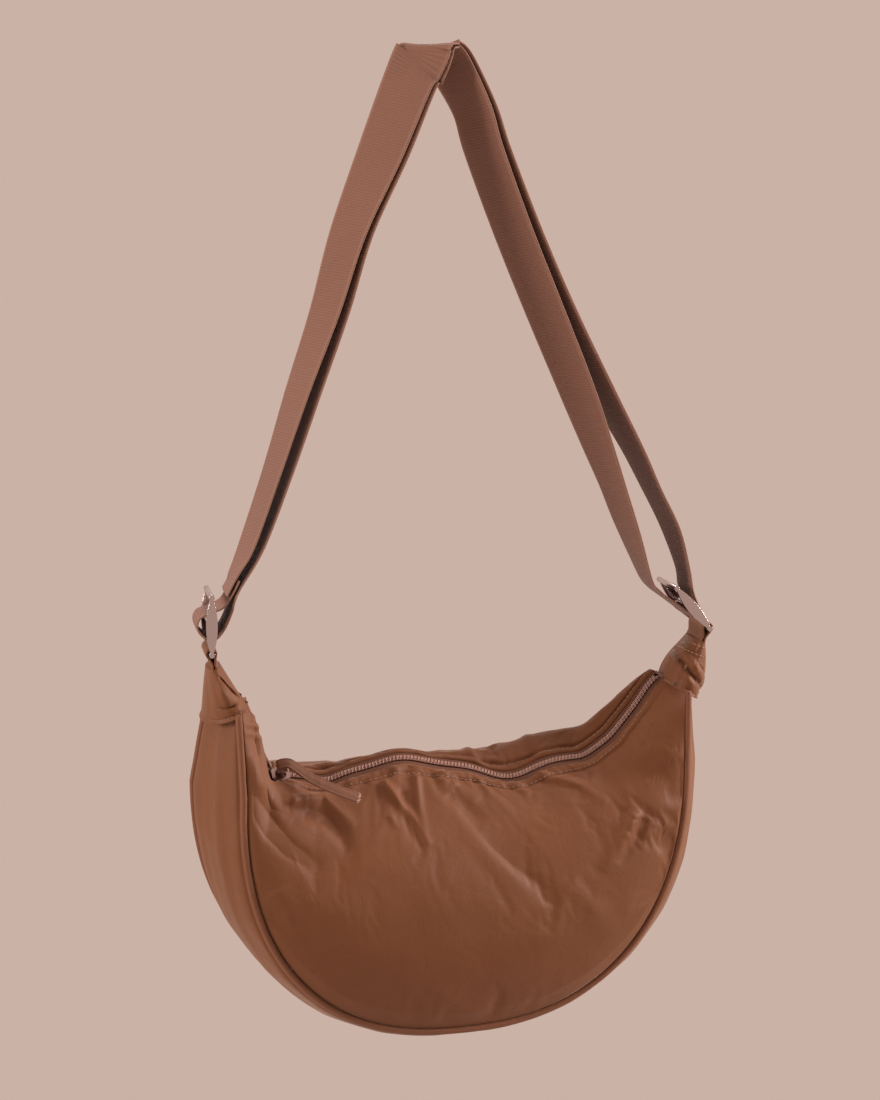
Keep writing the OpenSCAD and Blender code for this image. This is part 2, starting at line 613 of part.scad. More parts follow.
// Over the hook: [across, back, down] in shares of the webbing's width
inner_fold_shares = [[-0.17, -0.09, 0.2], [-0.1, -0.06, 0.05], [0, 0, 0], [0.12, 0.07, 0.05],
    [0.34, 0.08, 0.27]];
outer_fold_shares = [[-0.22, -0.1, 0.2], [-0.13, -0.07, 0.04], [0, 0, 0], [0.15, 0.08, 0.05],
    [0.4, 0.09, 0.27]];
fold_turns = [43, 45, 45, 43, 28];
// Round the sliders: [outwards, up] in shares of the slider's height
left_wrap_shares = [[-0.44, 0.7], [-0.33, 0.48], [-0.2, 0.29], [0, 0.2], [0.17, 0.12], [0.22, 0],
    [0.18, -0.12], [0.06, -0.22], [-0.08, -0.21], [-0.22, -0.04], [-0.33, 0.22], [-0.42, 0.5]];
right_wrap_shares = [[-0.22, 0.85], [-0.24, 0.55], [-0.17, 0.25], [-0.11, 0], [-0.08, -0.15],
    [0, -0.24], [0.09, -0.15], [0.12, 0], [0.2, 0.22], [0.36, 0.5]];
lap_shares = [[-0.37, 0.7], [-0.25, 0.47]];

hang_x = -hang_offset;
inner_z = strap_drop + webbing_t / 2;
outer_z = inner_z + webbing_t + cloth_gap;
function leg_point(end, s, layer) =
    let (c = slider_place(end), gap = layer * end * s[2] * webbing_w / 2)
    [lerp(hang_x, c[0], s[0]) + gap, 0, lerp(outer_z, c[2], s[1]), layer < 0 ? s[3] : s[4]];
function fold_point(s, turn, z) =
    [hang_x + s[0] * webbing_w, s[1] * webbing_w, z - s[2] * webbing_w, turn];
function wrap_point(end, s) = let (p = in_slider(end, s[0] * slider_h, s[1] * slider_h))
    [p[0], p[1], p[2], slider_turn];
function backwards(p) = [for (i = [len(p) - 1:-1:0]) p[i]];
function leg(end, layer, shares) = [for (s = shares) leg_point(end, s, layer)];
function fold(shares, z) = [for (i = [0:len(shares) - 1]) fold_point(shares[i], fold_turns[i], z)];

strap_points = concat(
    [for (s = left_wrap_shares) wrap_point(-1, s)],
    backwards(leg(-1, -1, left_leg_shares)),
    fold(inner_fold_shares, inner_z),
    leg(1, -1, right_leg_shares),
    [for (s = right_wrap_shares) wrap_point(1, s)],
    backwards(leg(1, 1, right_leg_shares)),
    backwards(fold(outer_fold_shares, outer_z)),
    leg(-1, 1, left_leg_shares),
    [for (s = lap_shares) wrap_point(-1, s)]);
strap_line = smooth(strap_points, 2);
module strap_webbing() color(webbing) at_bag() band(strap_line, webbing_w, webbing_t);
echo(webbing_length = line_length(strap_line));

front_panel();
back_panel();
gusset();
front_piping();
back_piping();
lining_front();
lining_back();
lining_gusset();
inner_pocket();
zip_tape_front();
zip_tape_back();
zip_coil_front();
zip_coil_back();
zip_top_stops();
zip_bottom_stop();
left_end_cap();
right_end_cap();
left_tab();
right_tab();
zip_slider();
pull_ring();
pull_tab();
strap_webbing();
left_slider();
right_slider();
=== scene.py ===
# %% [markdown]
# A crescent shoulder bag hangs from a hook by its doubled webbing strap.
# The imported CAD model is loaded first and stays as the fixed frame. Every soft solid in it
# is then replaced by a finer piece in the same space, on the same body; the end sleeves,
# their stitches and their tabs are attached to no body.

# %% Load the frame
import json
import math

import bpy
import numpy as np
from mathutils import Matrix, Vector, noise

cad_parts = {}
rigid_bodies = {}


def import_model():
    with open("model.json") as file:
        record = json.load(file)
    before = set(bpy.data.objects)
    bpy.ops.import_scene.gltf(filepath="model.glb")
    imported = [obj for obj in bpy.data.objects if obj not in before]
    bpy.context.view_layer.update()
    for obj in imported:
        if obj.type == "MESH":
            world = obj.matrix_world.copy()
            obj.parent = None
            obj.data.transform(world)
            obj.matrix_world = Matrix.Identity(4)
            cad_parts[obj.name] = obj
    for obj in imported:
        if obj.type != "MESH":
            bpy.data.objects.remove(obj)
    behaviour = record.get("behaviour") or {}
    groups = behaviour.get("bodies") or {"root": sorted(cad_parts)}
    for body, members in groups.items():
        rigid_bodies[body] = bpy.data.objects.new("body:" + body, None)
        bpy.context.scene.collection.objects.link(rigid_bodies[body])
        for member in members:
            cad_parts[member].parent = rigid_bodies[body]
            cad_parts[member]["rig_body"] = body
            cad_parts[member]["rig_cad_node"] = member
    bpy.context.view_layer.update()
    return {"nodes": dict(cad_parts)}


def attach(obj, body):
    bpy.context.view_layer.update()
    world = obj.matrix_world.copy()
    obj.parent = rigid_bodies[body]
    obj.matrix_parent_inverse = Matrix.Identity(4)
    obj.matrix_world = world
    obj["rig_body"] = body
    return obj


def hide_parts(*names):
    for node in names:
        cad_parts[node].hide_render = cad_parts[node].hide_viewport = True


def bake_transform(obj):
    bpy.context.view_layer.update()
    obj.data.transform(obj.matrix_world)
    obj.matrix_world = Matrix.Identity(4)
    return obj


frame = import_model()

# %% [markdown]
# The camera comes first.
# It was fitted to the ends of the zip, the pipings, the sliders and the hang point.

# %% Camera at the photograph's angle
CAMERA_PLACE = (-0.5045, -1.4530, -0.1234)
CAMERA_YAW, CAMERA_PITCH, CAMERA_ROLL = 19.41, -6.74, 0.36
CAMERA_LENS = 54.46
SENSOR_HEIGHT = 24.0

bpy.ops.object.select_all(action="DESELECT")
bpy.ops.object.camera_add(location=(0, 0, 0))
camera = bpy.context.object
camera.name = "photo_camera"
camera.data.sensor_fit = "VERTICAL"
camera.data.sensor_height = SENSOR_HEIGHT
camera.data.lens = CAMERA_LENS
camera.matrix_world = (
    Matrix.Translation(CAMERA_PLACE)
    @ Matrix.Rotation(math.radians(-CAMERA_YAW), 4, "Z")
    @ Matrix.Rotation(math.radians(90 + CAMERA_PITCH), 4, "X")
    @ Matrix.Rotation(math.radians(CAMERA_ROLL), 4, "Z")
)
bpy.context.scene.camera = camera
print("camera", [round(c, 3) for c in camera.location])

# %% [markdown]
# The light is a plain soft studio: the world gives an even fill, soft lamps stand at the left
# and the right, and weaker ones above and behind. The backdrop colour shows only to camera,
# glossy and transmitted rays, so it doesn't tint the bag.

# %% Light, floor and backdrop
BACKDROP = (0.597, 0.445, 0.381)
FILL = (1.0, 0.98, 0.96)
FILL_STRENGTH = 0.38
FLOOR_HEIGHT, FLOOR_SIZE, FLOOR_TONE = -1.5, 12, (0.8, 0.78, 0.76)


def clear_tree(tree):
    """Empties a node tree and returns it."""
    tree.nodes.clear()
    return tree


def add_node(tree, kind, inputs=(), **settings):
    """Adds a node, sets its properties, and links or sets its inputs by name or number."""
    made = tree.nodes.new(kind)
    for name, value in settings.items():
        setattr(made, name, value)
    for key, value in dict(inputs).items():
        socket = made.inputs[key]
        if isinstance(value, bpy.types.NodeSocket):
            tree.links.new(value, socket)
        else:
            socket.default_value = value
    return made


def math_node(tree, operation, a, b=0.0, c=0.0):
    return add_node(tree, "ShaderNodeMath", {0: a, 1: b, 2: c}, operation=operation).outputs[0]


def show_backdrop(tree, plain, kind, output):
    """Camera, glossy and transmitted rays see the backdrop's colour, others the plain shader."""
    path = add_node(tree, "ShaderNodeLightPath").outputs
    direct = math_node(tree, "MAXIMUM", path["Is Camera Ray"], path["Is Glossy Ray"])
    direct = math_node(tree, "MAXIMUM", direct, path["Is Transmission Ray"])
    seen = add_node(tree, kind, {"Color": (*BACKDROP, 1), "Strength": 1})
    mixed = add_node(tree, "ShaderNodeMixShader",
                     {0: direct, 1: plain.outputs[0], 2: seen.outputs[0]})
    add_node(tree, output, {0: mixed.outputs[0]})


world = bpy.data.worlds.new("studio")
bpy.context.scene.world = world
world.use_nodes = True
sky = clear_tree(world.node_tree)
fill = add_node(sky, "ShaderNodeBackground", {"Color": (*FILL, 1), "Strength": FILL_STRENGTH})
show_backdrop(sky, fill, "ShaderNodeBackground", "ShaderNodeOutputWorld")

bpy.ops.object.select_all(action="DESELECT")
bpy.ops.mesh.primitive_plane_add(size=FLOOR_SIZE, location=(0, 0, 0))
floor = bpy.context.object
floor.name = "studio_floor"
for corner in floor.data.vertices:
    corner.co.z = FLOOR_HEIGHT
floor_finish = bpy.data.materials.new("pale_floor")
floor_finish.use_nodes = True
paint = clear_tree(floor_finish.node_tree)
matt = add_node(paint, "ShaderNodeBsdfDiffuse", {"Color": (*FLOOR_TONE, 1)})
show_backdrop(paint, matt, "ShaderNodeEmission", "ShaderNodeOutputMaterial")
floor.data.materials.append(floor_finish)

LAMPS = {
    "left_softbox": ((-2.0, -0.15, 0.05), 0.7, 28),
    "right_softbox": ((1.95, -0.5, 0.2), 0.7, 48),
    "top_softbox": ((0.2, -0.25, 1.9), 0.6, 20),
    "back_softbox": ((0.2, 1.9, 1.2), 1.2, 14),
}
LAMP_AIM = Vector((0.02, 0, -0.35))

for name, (place, size, power) in LAMPS.items():
    bpy.ops.object.light_add(type="AREA", location=place)
    lamp = bpy.context.object
    lamp.name = name
    lamp.data.shape = "DISK"
    lamp.data.size = size
    lamp.data.energy = power
    lamp.rotation_euler = (LAMP_AIM - Vector(place)).to_track_quat("-Z", "Y").to_euler()
bpy.context.scene.view_settings.view_transform = "Standard"
print("lamps", list(LAMPS))

# %% [markdown]
# The bag's own measures follow, in millimetres, in a frame that is centred on the level
# stretch of the zip. They are the same formulas as the CAD source's, but evaluated at any
# place, so a finer mesh lies in the space of the coarse solid.

# %% The bag's measures
HANG = np.array([20.0, 0.0, -442.0])
HALF_W = {-1: 146.0, 1: 164.0}
ROUND_H = {-1: 155.0, 1: 157.0}
WIDEST_Z, ROUND_POWER, SWAY = -5.0, 0.851, 8.0
BOTTOM_DEPTH, DEPTH_POWER = 72.0, 0.8
ZIP_HALF, LEVEL_LEFT, LEVEL_RIGHT = 141.0, 122.0, 85.0
ZIP_RISE, CLIMB_POWER, ZIP_TILT = 53.0, 1.2, math.radians(45)
CAP_X, CAP_Z, CAP_HALF_X, CAP_HALF_Y = 152.0, 44.0, 13.0, 23.0
CAP_TILT, CAP_YAW, CAP_GAP, TRIM_SOFT = math.radians(28), math.radians(10), -0.8, 0.6
LEFT_COLS, LEVEL_COLS, RIGHT_COLS, SIDE_COLS = 5, 19, 6, 3
COLS = LEFT_COLS + LEVEL_COLS + RIGHT_COLS
ARC_COLS = COLS - 2 * SIDE_COLS
SHELL_T, PIPING_D = 1.6, 4.2
PANEL_SWELL, SWELL_POWER, SWELL_SKEW = 23.0, 0.8, 0.75
ROW_POWER = {-1: 0.92, 1: 1.3}
BACK_HUMP, BACK_RIGHT_HUMP, RIGHT_HUMP_POWER, HUMP_SHARE = 11.0, 8.0, 5, 0.3
FRONT_FOLD, FOLD_SHARE, FOLD_COLS = 12.0, 0.22, 7
GUSSET_SWELL, GUSSET_POWER = (5.0, 12.0), 0.6


def in_frame(p):
    """Millimetres of the bag's own frame, as metres of the CAD frame."""
    return (np.asarray(p, float) + HANG) / 1000


def unit(a):
    """Vectors of length one, along the last axis."""
    return a / np.maximum(np.linalg.norm(a, axis=-1, keepdims=True), 1e-9)


def points(x, y, z):
    """Three arrays as one array of points."""
    return np.stack(np.broadcast_arrays(x, y, z), -1).astype(float)


def lerp(a, b, t):
    return a + (b - a) * t


def run_along(line):
    """Length along a line of points, up to each of them."""
    steps = np.linalg.norm(np.diff(line, axis=0), axis=1)
    return np.concatenate([[0], np.cumsum(steps)])


def apart(a, b):
    """Distances between two rows of points."""
    return np.linalg.norm(a - b, axis=1)


def bump(x, centre, width):
    """A smooth hump of height one."""
    return np.exp(-(((x - centre) / width) ** 2))


def cap_axis(end):
    n = np.array([math.sin(CAP_TILT) * math.cos(CAP_YAW),
                  -math.sin(CAP_TILT) * math.sin(CAP_YAW), math.cos(CAP_TILT)])
    return n * [end, 1, 1]


def trimmed(p):
    """Cloth that would pass a cap seam is cut off at it."""
    p = np.array(p, float)
    for end in (-1, 1):
        side = (p[..., 0] < 0) if end < 0 else (p[..., 0] >= 0)
        n = cap_axis(end)
        over = (p - [end * CAP_X, 0, CAP_Z]) @ n + CAP_GAP + TRIM_SOFT
        over = TRIM_SOFT * np.logaddexp(0, over / TRIM_SOFT)
        p -= np.where(side & (over > 0.02), over, 0)[..., None] * n
    return p


def zip_x(j):
    left = lerp(-ZIP_HALF, -LEVEL_LEFT, j / LEFT_COLS)
    level = lerp(-LEVEL_LEFT, LEVEL_RIGHT, (j - LEFT_COLS) / LEVEL_COLS)
    right = lerp(LEVEL_RIGHT, ZIP_HALF, (j - LEFT_COLS - LEVEL_COLS) / RIGHT_COLS)
    return np.where(j <= LEFT_COLS, left, np.where(j <= LEFT_COLS + LEVEL_COLS, level, right))


# Each row of the wave and the crowns is a height, a place and a width.
ZIP_WAVE = ((6.5, -38.0, 22.0), (-10.0, 34.0, 22.0), (-4.5, -88.0, 12.0),
            (-2.0, 104.0, 9.0), (3.0, 131.0, 8.0))
BACK_CROWNS = ((5.5, 22.0, 3.0), (3.5, 12.5, 4.0))


def zip_climb(x):
    """Height of the zip: level, climbing at both ends."""
    level = np.where(x < 0, LEVEL_LEFT, LEVEL_RIGHT)
    climb = np.maximum(0, (np.abs(x) - level) / (ZIP_HALF - level)) ** CLIMB_POWER
    return ZIP_RISE * climb


def zip_wave(x):
    """The soft wave in which the zip hangs between its ends."""
    return sum(h * bump(x, c, w) for h, c, w in ZIP_WAVE)


def zip_line(x, wave=1.0):
    soft = (zip_climb(x - 4) + zip_climb(x) + zip_climb(x + 4)) / 3
    return points(x, 0 * x, np.where(x > 0, soft, zip_climb(x)) + wave * zip_wave(x))


def zip_up(x, wave=1.0):
    t = unit(zip_line(x + 2, wave) - zip_line(x - 2, wave))
    return points(-t[..., 2], 0, t[..., 0])


def zip_offset(x, y, h, wave=1.0):
    """A point beside the zip's centre line: y across the tilted zip, h above it."""
    tilt = ZIP_TILT * np.clip((x + ZIP_HALF) / (ZIP_HALF - LEVEL_LEFT), 0, 1)
    back = y * np.cos(tilt) - h * np.sin(tilt)
    up = y * np.sin(tilt) + h * np.cos(tilt)
    return zip_line(x, wave) + points(0, back, 0) + up[..., None] * zip_up(x, wave)


print("zip from", zip_line(np.array([-ZIP_HALF]))[0], "to", zip_line(np.array([ZIP_HALF]))[0])

# %% [markdown]
# The piping's line is a superellipse below its widest line with straight sides above, drawn
# once for the front and once for the back. Panels run from the zip's rim to it.

# %% Outline and panels
def outline(j, side):
    """The piping's centre line at column j, front (-1) or back (1)."""
    j = np.asarray(j, float)
    angle = np.pi * np.clip(j - SIDE_COLS, 0, ARC_COLS) / ARC_COLS
    half, high = HALF_W[side], ROUND_H[side]
    x = (-half * np.sign(np.cos(angle)) * np.abs(np.cos(angle)) ** ROUND_POWER
         + side * SWAY * np.sin(angle))
    z = WIDEST_Z - high * np.abs(np.sin(angle)) ** ROUND_POWER
    for end, share in ((-1, 1 - j / SIDE_COLS), (1, 1 - (COLS - j) / SIDE_COLS)):
        top_x = end * (CAP_X + side * CAP_HALF_Y * math.sin(CAP_YAW))
        top_z = CAP_Z
        up = share > 0
        x = np.where(up, lerp(end * half, top_x, share), x)
        z = np.where(up, lerp(WIDEST_Z, top_z, share), z)
    down = np.clip((CAP_Z - z) / (CAP_Z - WIDEST_Z + ROUND_H[-1]), 0, None) ** DEPTH_POWER
    depth = lerp(2 * CAP_HALF_Y, BOTTOM_DEPTH, down)
    return points(x, side * depth / 2, z)


def outline_in(j, side):
    """Inward direction of the outline, in its own plane."""
    step = 0.6
    t = outline(np.minimum(j + step, COLS), side) - outline(np.maximum(j - step, 0), side)
    t[..., 1] = 0
    t = unit(t)
    return points(-t[..., 2], 0, t[..., 0])


def fullness(j):
    return np.sin(np.pi * (np.asarray(j) + 0.3) / (COLS + 0.6)) ** 0.7


def hump(j, v, side):
    if side < 0:
        return (FRONT_FOLD * np.sin(np.pi * np.minimum(1, j / FOLD_COLS))
                * np.sin(np.pi * np.minimum(1, v / FOLD_SHARE)))
    right = BACK_RIGHT_HUMP * np.sin(np.pi * (j / COLS) ** RIGHT_HUMP_POWER)
    crown = sum(h * bump(j, c, w) for h, c, w in BACK_CROWNS)
    rise = np.sin(np.pi * np.minimum(1, v / HUMP_SHARE))
    return (BACK_HUMP * fullness(j) + right + crown) * rise


RIM_Y, RIM_H = 4.6, 1.5
WAVE_REACH = {-1: 0.30, 1: 0.13}
FOOT_IN = 2.3


def panel_point(j, v, side):
    """A point of the panel: row share v runs from the zip's rim, 0, to the piping, 1."""
    rim = zip_offset(zip_x(j), side * RIM_Y, RIM_H + 0 * j, wave=0.0)
    foot = outline(j, side) + FOOT_IN * outline_in(j, side) + points(0, side * SHELL_T / 2, 0)
    w = v ** ROW_POWER[side]
    swell = PANEL_SWELL * np.sin(np.pi * v**SWELL_SKEW) ** SWELL_POWER * fullness(j)
    near_zip = np.clip(1 - v / WAVE_REACH[side], 0, 1) ** 1.5
    lift = hump(j, v, side) + near_zip * zip_wave(zip_x(j))
    return trimmed(points(lerp(rim[..., 0], foot[..., 0], w),
                          lerp(rim[..., 1], foot[..., 1], v) + side * swell,
                          lerp(rim[..., 2], foot[..., 2], w) + lift))


def gusset_point(j, w):
    """A point of the gusset between the pipings: share w runs from front to back."""
    front = outline(j, -1) + [0, FOOT_IN, 0]
    back = outline(j, 1) - [0, FOOT_IN, 0]
    out = -unit(outline_in(j, -1) + outline_in(j, 1))
    swell = lerp(*GUSSET_SWELL, j / COLS)
    stand = SHELL_T / 2 + swell * np.abs(np.sin(np.pi * w)) ** GUSSET_POWER * fullness(j) ** 0.5
    return trimmed(lerp(front, back, w[..., None]) + stand[..., None] * out)


print("panel height", round(float(outline(np.array([15.0]), -1)[0, 2]), 1), "mm")

# %% [markdown]
# A cloth surface is a grid primitive whose vertices are placed by a formula, as one would pull
# a subdivided plane over a form. Its UV map stays that of the flat grid, so a weave can follow
# the cloth. A tube is the same grid rolled up, with its first and last rows merged.

# %% Making cloth from grids
MERGE_DISTANCE = 1e-6


def active_only(piece):
    bpy.ops.object.select_all(action="DESELECT")
    piece.select_set(True)
    bpy.context.view_layer.objects.active = piece


def edit_all(piece, *steps):
    """Runs edit-mode steps on the whole mesh of one piece."""
    active_only(piece)
    bpy.ops.object.mode_set(mode="EDIT")
    bpy.ops.mesh.select_all(action="SELECT")
    for step in steps:
        step()
    bpy.ops.object.mode_set(mode="OBJECT")


def apply_modifier(piece, kind, **settings):
    active_only(piece)
    modifier = piece.modifiers.new(kind.title(), kind)
    for name, value in settings.items():
        setattr(modifier, name, value)
    bpy.ops.object.modifier_apply(modifier=modifier.name)


def grid_piece(name, across, along, place, flip=False):
    """A grid of across by along faces; place(u, v) gives millimetres in the bag's frame."""
    bpy.ops.object.select_all(action="DESELECT")
    bpy.ops.mesh.primitive_grid_add(x_subdivisions=across, y_subdivisions=along, size=1,
                                    location=(0, 0, 0))
    piece = bpy.context.object
    piece.name = piece.data.name = name
    flat = np.empty(len(piece.data.vertices) * 3)
    piece.data.vertices.foreach_get("co", flat)
    flat = flat.reshape(-1, 3) + 0.5
    piece.data.vertices.foreach_set("co", in_frame(place(flat[:, 0], flat[:, 1])).ravel())
    piece.data.update()
    if flip:
        edit_all(piece, bpy.ops.mesh.flip_normals)
    active_only(piece)
    bpy.ops.object.shade_smooth()
    return piece


def roll_up(piece):
    """Merges the seam of a rolled grid, closes its ends and turns its faces outwards."""
    def close_ends():
        bpy.ops.mesh.select_all(action="DESELECT")
        bpy.ops.mesh.select_non_manifold()
        bpy.ops.mesh.fill_holes(sides=0)

    edit_all(piece, lambda: bpy.ops.mesh.remove_doubles(threshold=MERGE_DISTANCE))
    edit_all(piece, close_ends)
    edit_all(piece, lambda: bpy.ops.mesh.normals_make_consistent(inside=False))
    return piece


def thicken(piece, depth):
    """Gives an open cloth its thickness, on its inner side, in millimetres."""
    apply_modifier(piece, "SOLIDIFY", thickness=depth / 1000, offset=-1, use_even_offset=False)
    return piece


def settle(piece, finish, slot, body, *nodes):
    """Gives a piece its material, the nodes it stands for and the body it rides on; slot is not
    used.
    """
    piece.data.materials.clear()
    piece.data.materials.append(finish)
    if nodes:
        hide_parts(*nodes)
    if body:
        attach(piece, body)
    print(piece.name, len(piece.data.polygons), "faces")
    return piece


def smooth_noise(p, size, seed):
    """Soft noise of millimetre points, about -1 to 1, whose lumps are size wide."""
    shift = Vector((seed * 7.3, seed * 3.1, seed * 5.7))
    return np.array([noise.noise(Vector(q) / size + shift) for q in p])


# %% [markdown]
# Cloth looks like cloth through small things: the crossing threads, a faint crinkle and tones
# that drift a little. Each effect is one node group, built once,
# and each material places it with its own values. Shaders stay in the materials.

# %% Node groups for cloth
def new_group(name, inputs, outputs):
    """A shader node group: inputs and outputs are (name, type, default) rows."""
    group = bpy.data.node_groups.new(name, "ShaderNodeTree")
    for label, kind, default in inputs:
        socket = group.interface.new_socket(label, in_out="INPUT", socket_type=kind)
        if default is not None:
            socket.default_value = default
    for label, kind in outputs:
        group.interface.new_socket(label, in_out="OUTPUT", socket_type=kind)
    return group, group.nodes.new("NodeGroupInput"), group.nodes.new("NodeGroupOutput")


FLOAT, COLOUR, VECTOR = "NodeSocketFloat", "NodeSocketColor", "NodeSocketVector"

weave, given, out = new_group("crossed_threads",
    [("Vector", VECTOR, None), ("Threads per metre", FLOAT, 1800.0)], [("Height", FLOAT)])
wander = add_node(weave, "ShaderNodeTexNoise", {"Vector": given.outputs["Vector"],
                                                "Scale": 700.0, "Detail": 1.0})
strayed = add_node(weave, "ShaderNodeVectorMath",
                   {0: wander.outputs["Color"], "Scale": 0.0009}, operation="SCALE")
moved = add_node(weave, "ShaderNodeVectorMath", {0: given.outputs["Vector"],
                                                 1: strayed.outputs[0]}, operation="ADD")
split = add_node(weave, "ShaderNodeSeparateXYZ", {0: moved.outputs[0]})
heights = []
for name in ("X", "Y"):
    turns = math_node(weave, "MULTIPLY", split.outputs[name], given.outputs[1])
    heights.append(math_node(weave, "SINE", math_node(weave, "MULTIPLY", turns, math.tau)))
crossing = math_node(weave, "MULTIPLY", heights[0], heights[1])
weave.links.new(crossing, out.inputs["Height"])

crinkle, given, out = new_group("soft_crinkle",
    [("Vector", VECTOR, None), ("Size", FLOAT, 60.0), ("Depth", FLOAT, 1.0)],
    [("Height", FLOAT)])
broad = add_node(crinkle, "ShaderNodeTexNoise",
                 {"Vector": given.outputs["Vector"], "Scale": given.outputs["Size"],
                  "Detail": 4.0, "Roughness": 0.55, "Distortion": 0.6})
ridged = math_node(crinkle, "ABSOLUTE",
                   math_node(crinkle, "SUBTRACT", broad.outputs["Fac"], 0.5))
height = math_node(crinkle, "MULTIPLY", ridged, given.outputs["Depth"])
crinkle.links.new(height, out.inputs["Height"])

tones, given, out = new_group("drifting_tones",
    [("Vector", VECTOR, None), ("Colour", COLOUR, (0.2, 0.1, 0.05, 1)),
     ("Drift", FLOAT, 0.1), ("Fleck", FLOAT, 0.05)], [("Colour", COLOUR), ("Mask", FLOAT)])
cloudy = add_node(tones, "ShaderNodeTexNoise",
                  {"Vector": given.outputs["Vector"], "Scale": 18.0, "Detail": 3.0})
flecks = add_node(tones, "ShaderNodeTexNoise",
                  {"Vector": given.outputs["Vector"], "Scale": 900.0, "Detail": 2.0})
wide = math_node(tones, "MULTIPLY", math_node(tones, "SUBTRACT", cloudy.outputs["Fac"], 0.5),
                 given.outputs["Drift"])
fine = math_node(tones, "MULTIPLY", math_node(tones, "SUBTRACT", flecks.outputs["Fac"], 0.5),
                 given.outputs["Fleck"])
value = math_node(tones, "ADD", math_node(tones, "ADD", wide, fine), 1.0)
shaded = add_node(tones, "ShaderNodeHueSaturation",
                  {"Color": given.outputs["Colour"], "Value": value})
tones.links.new(shaded.outputs[0], out.inputs["Colour"])
tones.links.new(cloudy.outputs["Fac"], out.inputs["Mask"])
print("groups", [g.name for g in bpy.data.node_groups])

# %% [markdown]
# The shell is a soft matt nylon with a slight sheen at grazing angles. Its threads are half a
# millimetre apart, and it is crinkled all over as washed cloth is. The piping and the lining
# are cut from the same kind of cloth in their own tones.

# %% Cloth materials
SHEEN_TINT, SHEEN_ROUGHNESS, CLOTH_GLOSS = (0.95, 0.66, 0.50, 1), 0.45, 0.22
CLOTH_FLECK, CLOTH_ROUGH_RANGE = 0.18, 0.12
THREADS_PER_METRE, THREAD_HEIGHT = 1900.0, 0.000022


def place_group(tree, group, inputs):
    return add_node(tree, "ShaderNodeGroup", inputs, node_tree=group)


def surface(name, **shader):
    """An empty material with its Principled shader wired up; shader gives its plain values."""
    finish = bpy.data.materials.new(name)
    finish.use_nodes = True
    tree = clear_tree(finish.node_tree)
    principled = tree.nodes.new("ShaderNodeBsdfPrincipled")
    for key, value in shader.items():
        principled.inputs[key.replace("_", " ")].default_value = value
    add_node(tree, "ShaderNodeOutputMaterial", {0: principled.outputs[0]})
    return finish, tree, principled


def cover(tree, skin, height, **linked):
    """Links a relief of the given height, and further values by name, to the shader."""
    relief = add_node(tree, "ShaderNodeBump", {"Height": height, "Distance": 1.0})
    for name, value in {**linked, "Normal": relief.outputs[0]}.items():
        tree.links.new(value, skin.inputs[name.replace("_", " ")])


def cloth_finish(name, colour, drift, crinkle_size, crinkle_depth, roughness, sheen):
    finish, tree, skin = surface(name, Sheen_Weight=sheen, Sheen_Roughness=SHEEN_ROUGHNESS,
                                 Sheen_Tint=SHEEN_TINT, Specular_IOR_Level=CLOTH_GLOSS)
    where = add_node(tree, "ShaderNodeTexCoord").outputs["Object"]
    tone = place_group(tree, tones, {"Vector": where, "Colour": (*colour, 1), "Drift": drift,
                                     "Fleck": CLOTH_FLECK})
    rough = math_node(tree, "MULTIPLY_ADD", tone.outputs["Mask"], CLOTH_ROUGH_RANGE,
                      roughness - CLOTH_ROUGH_RANGE / 2)
    folds = place_group(tree, crinkle, {"Vector": where, "Size": crinkle_size,
                                        "Depth": crinkle_depth})
    threads = place_group(tree, weave, {"Vector": where,
                                        "Threads per metre": THREADS_PER_METRE})
    fine = math_node(tree, "MULTIPLY", threads.outputs[0], THREAD_HEIGHT)
    cover(tree, skin, math_node(tree, "ADD", folds.outputs[0], fine),
          Base_Color=tone.outputs["Colour"], Roughness=rough)
    return finish


SHELL_BROWN = (0.190, 0.0565, 0.0175)
PIPING_BROWN = (0.215, 0.072, 0.032)
LINING_BROWN = (0.130, 0.052, 0.028)
shell_cloth = cloth_finish("shell_cloth", SHELL_BROWN, 0.16, 60.0, 0.0006, 0.54, 0.24)
piping_cloth = cloth_finish("piping_cloth", PIPING_BROWN, 0.15, 120.0, 0.0006, 0.55, 0.08)
lining_cloth = cloth_finish("lining_cloth", LINING_BROWN, 0.15, 60.0, 0.0008, 0.75, 0.15)
print("cloths", shell_cloth.name, piping_cloth.name, lining_cloth.name)
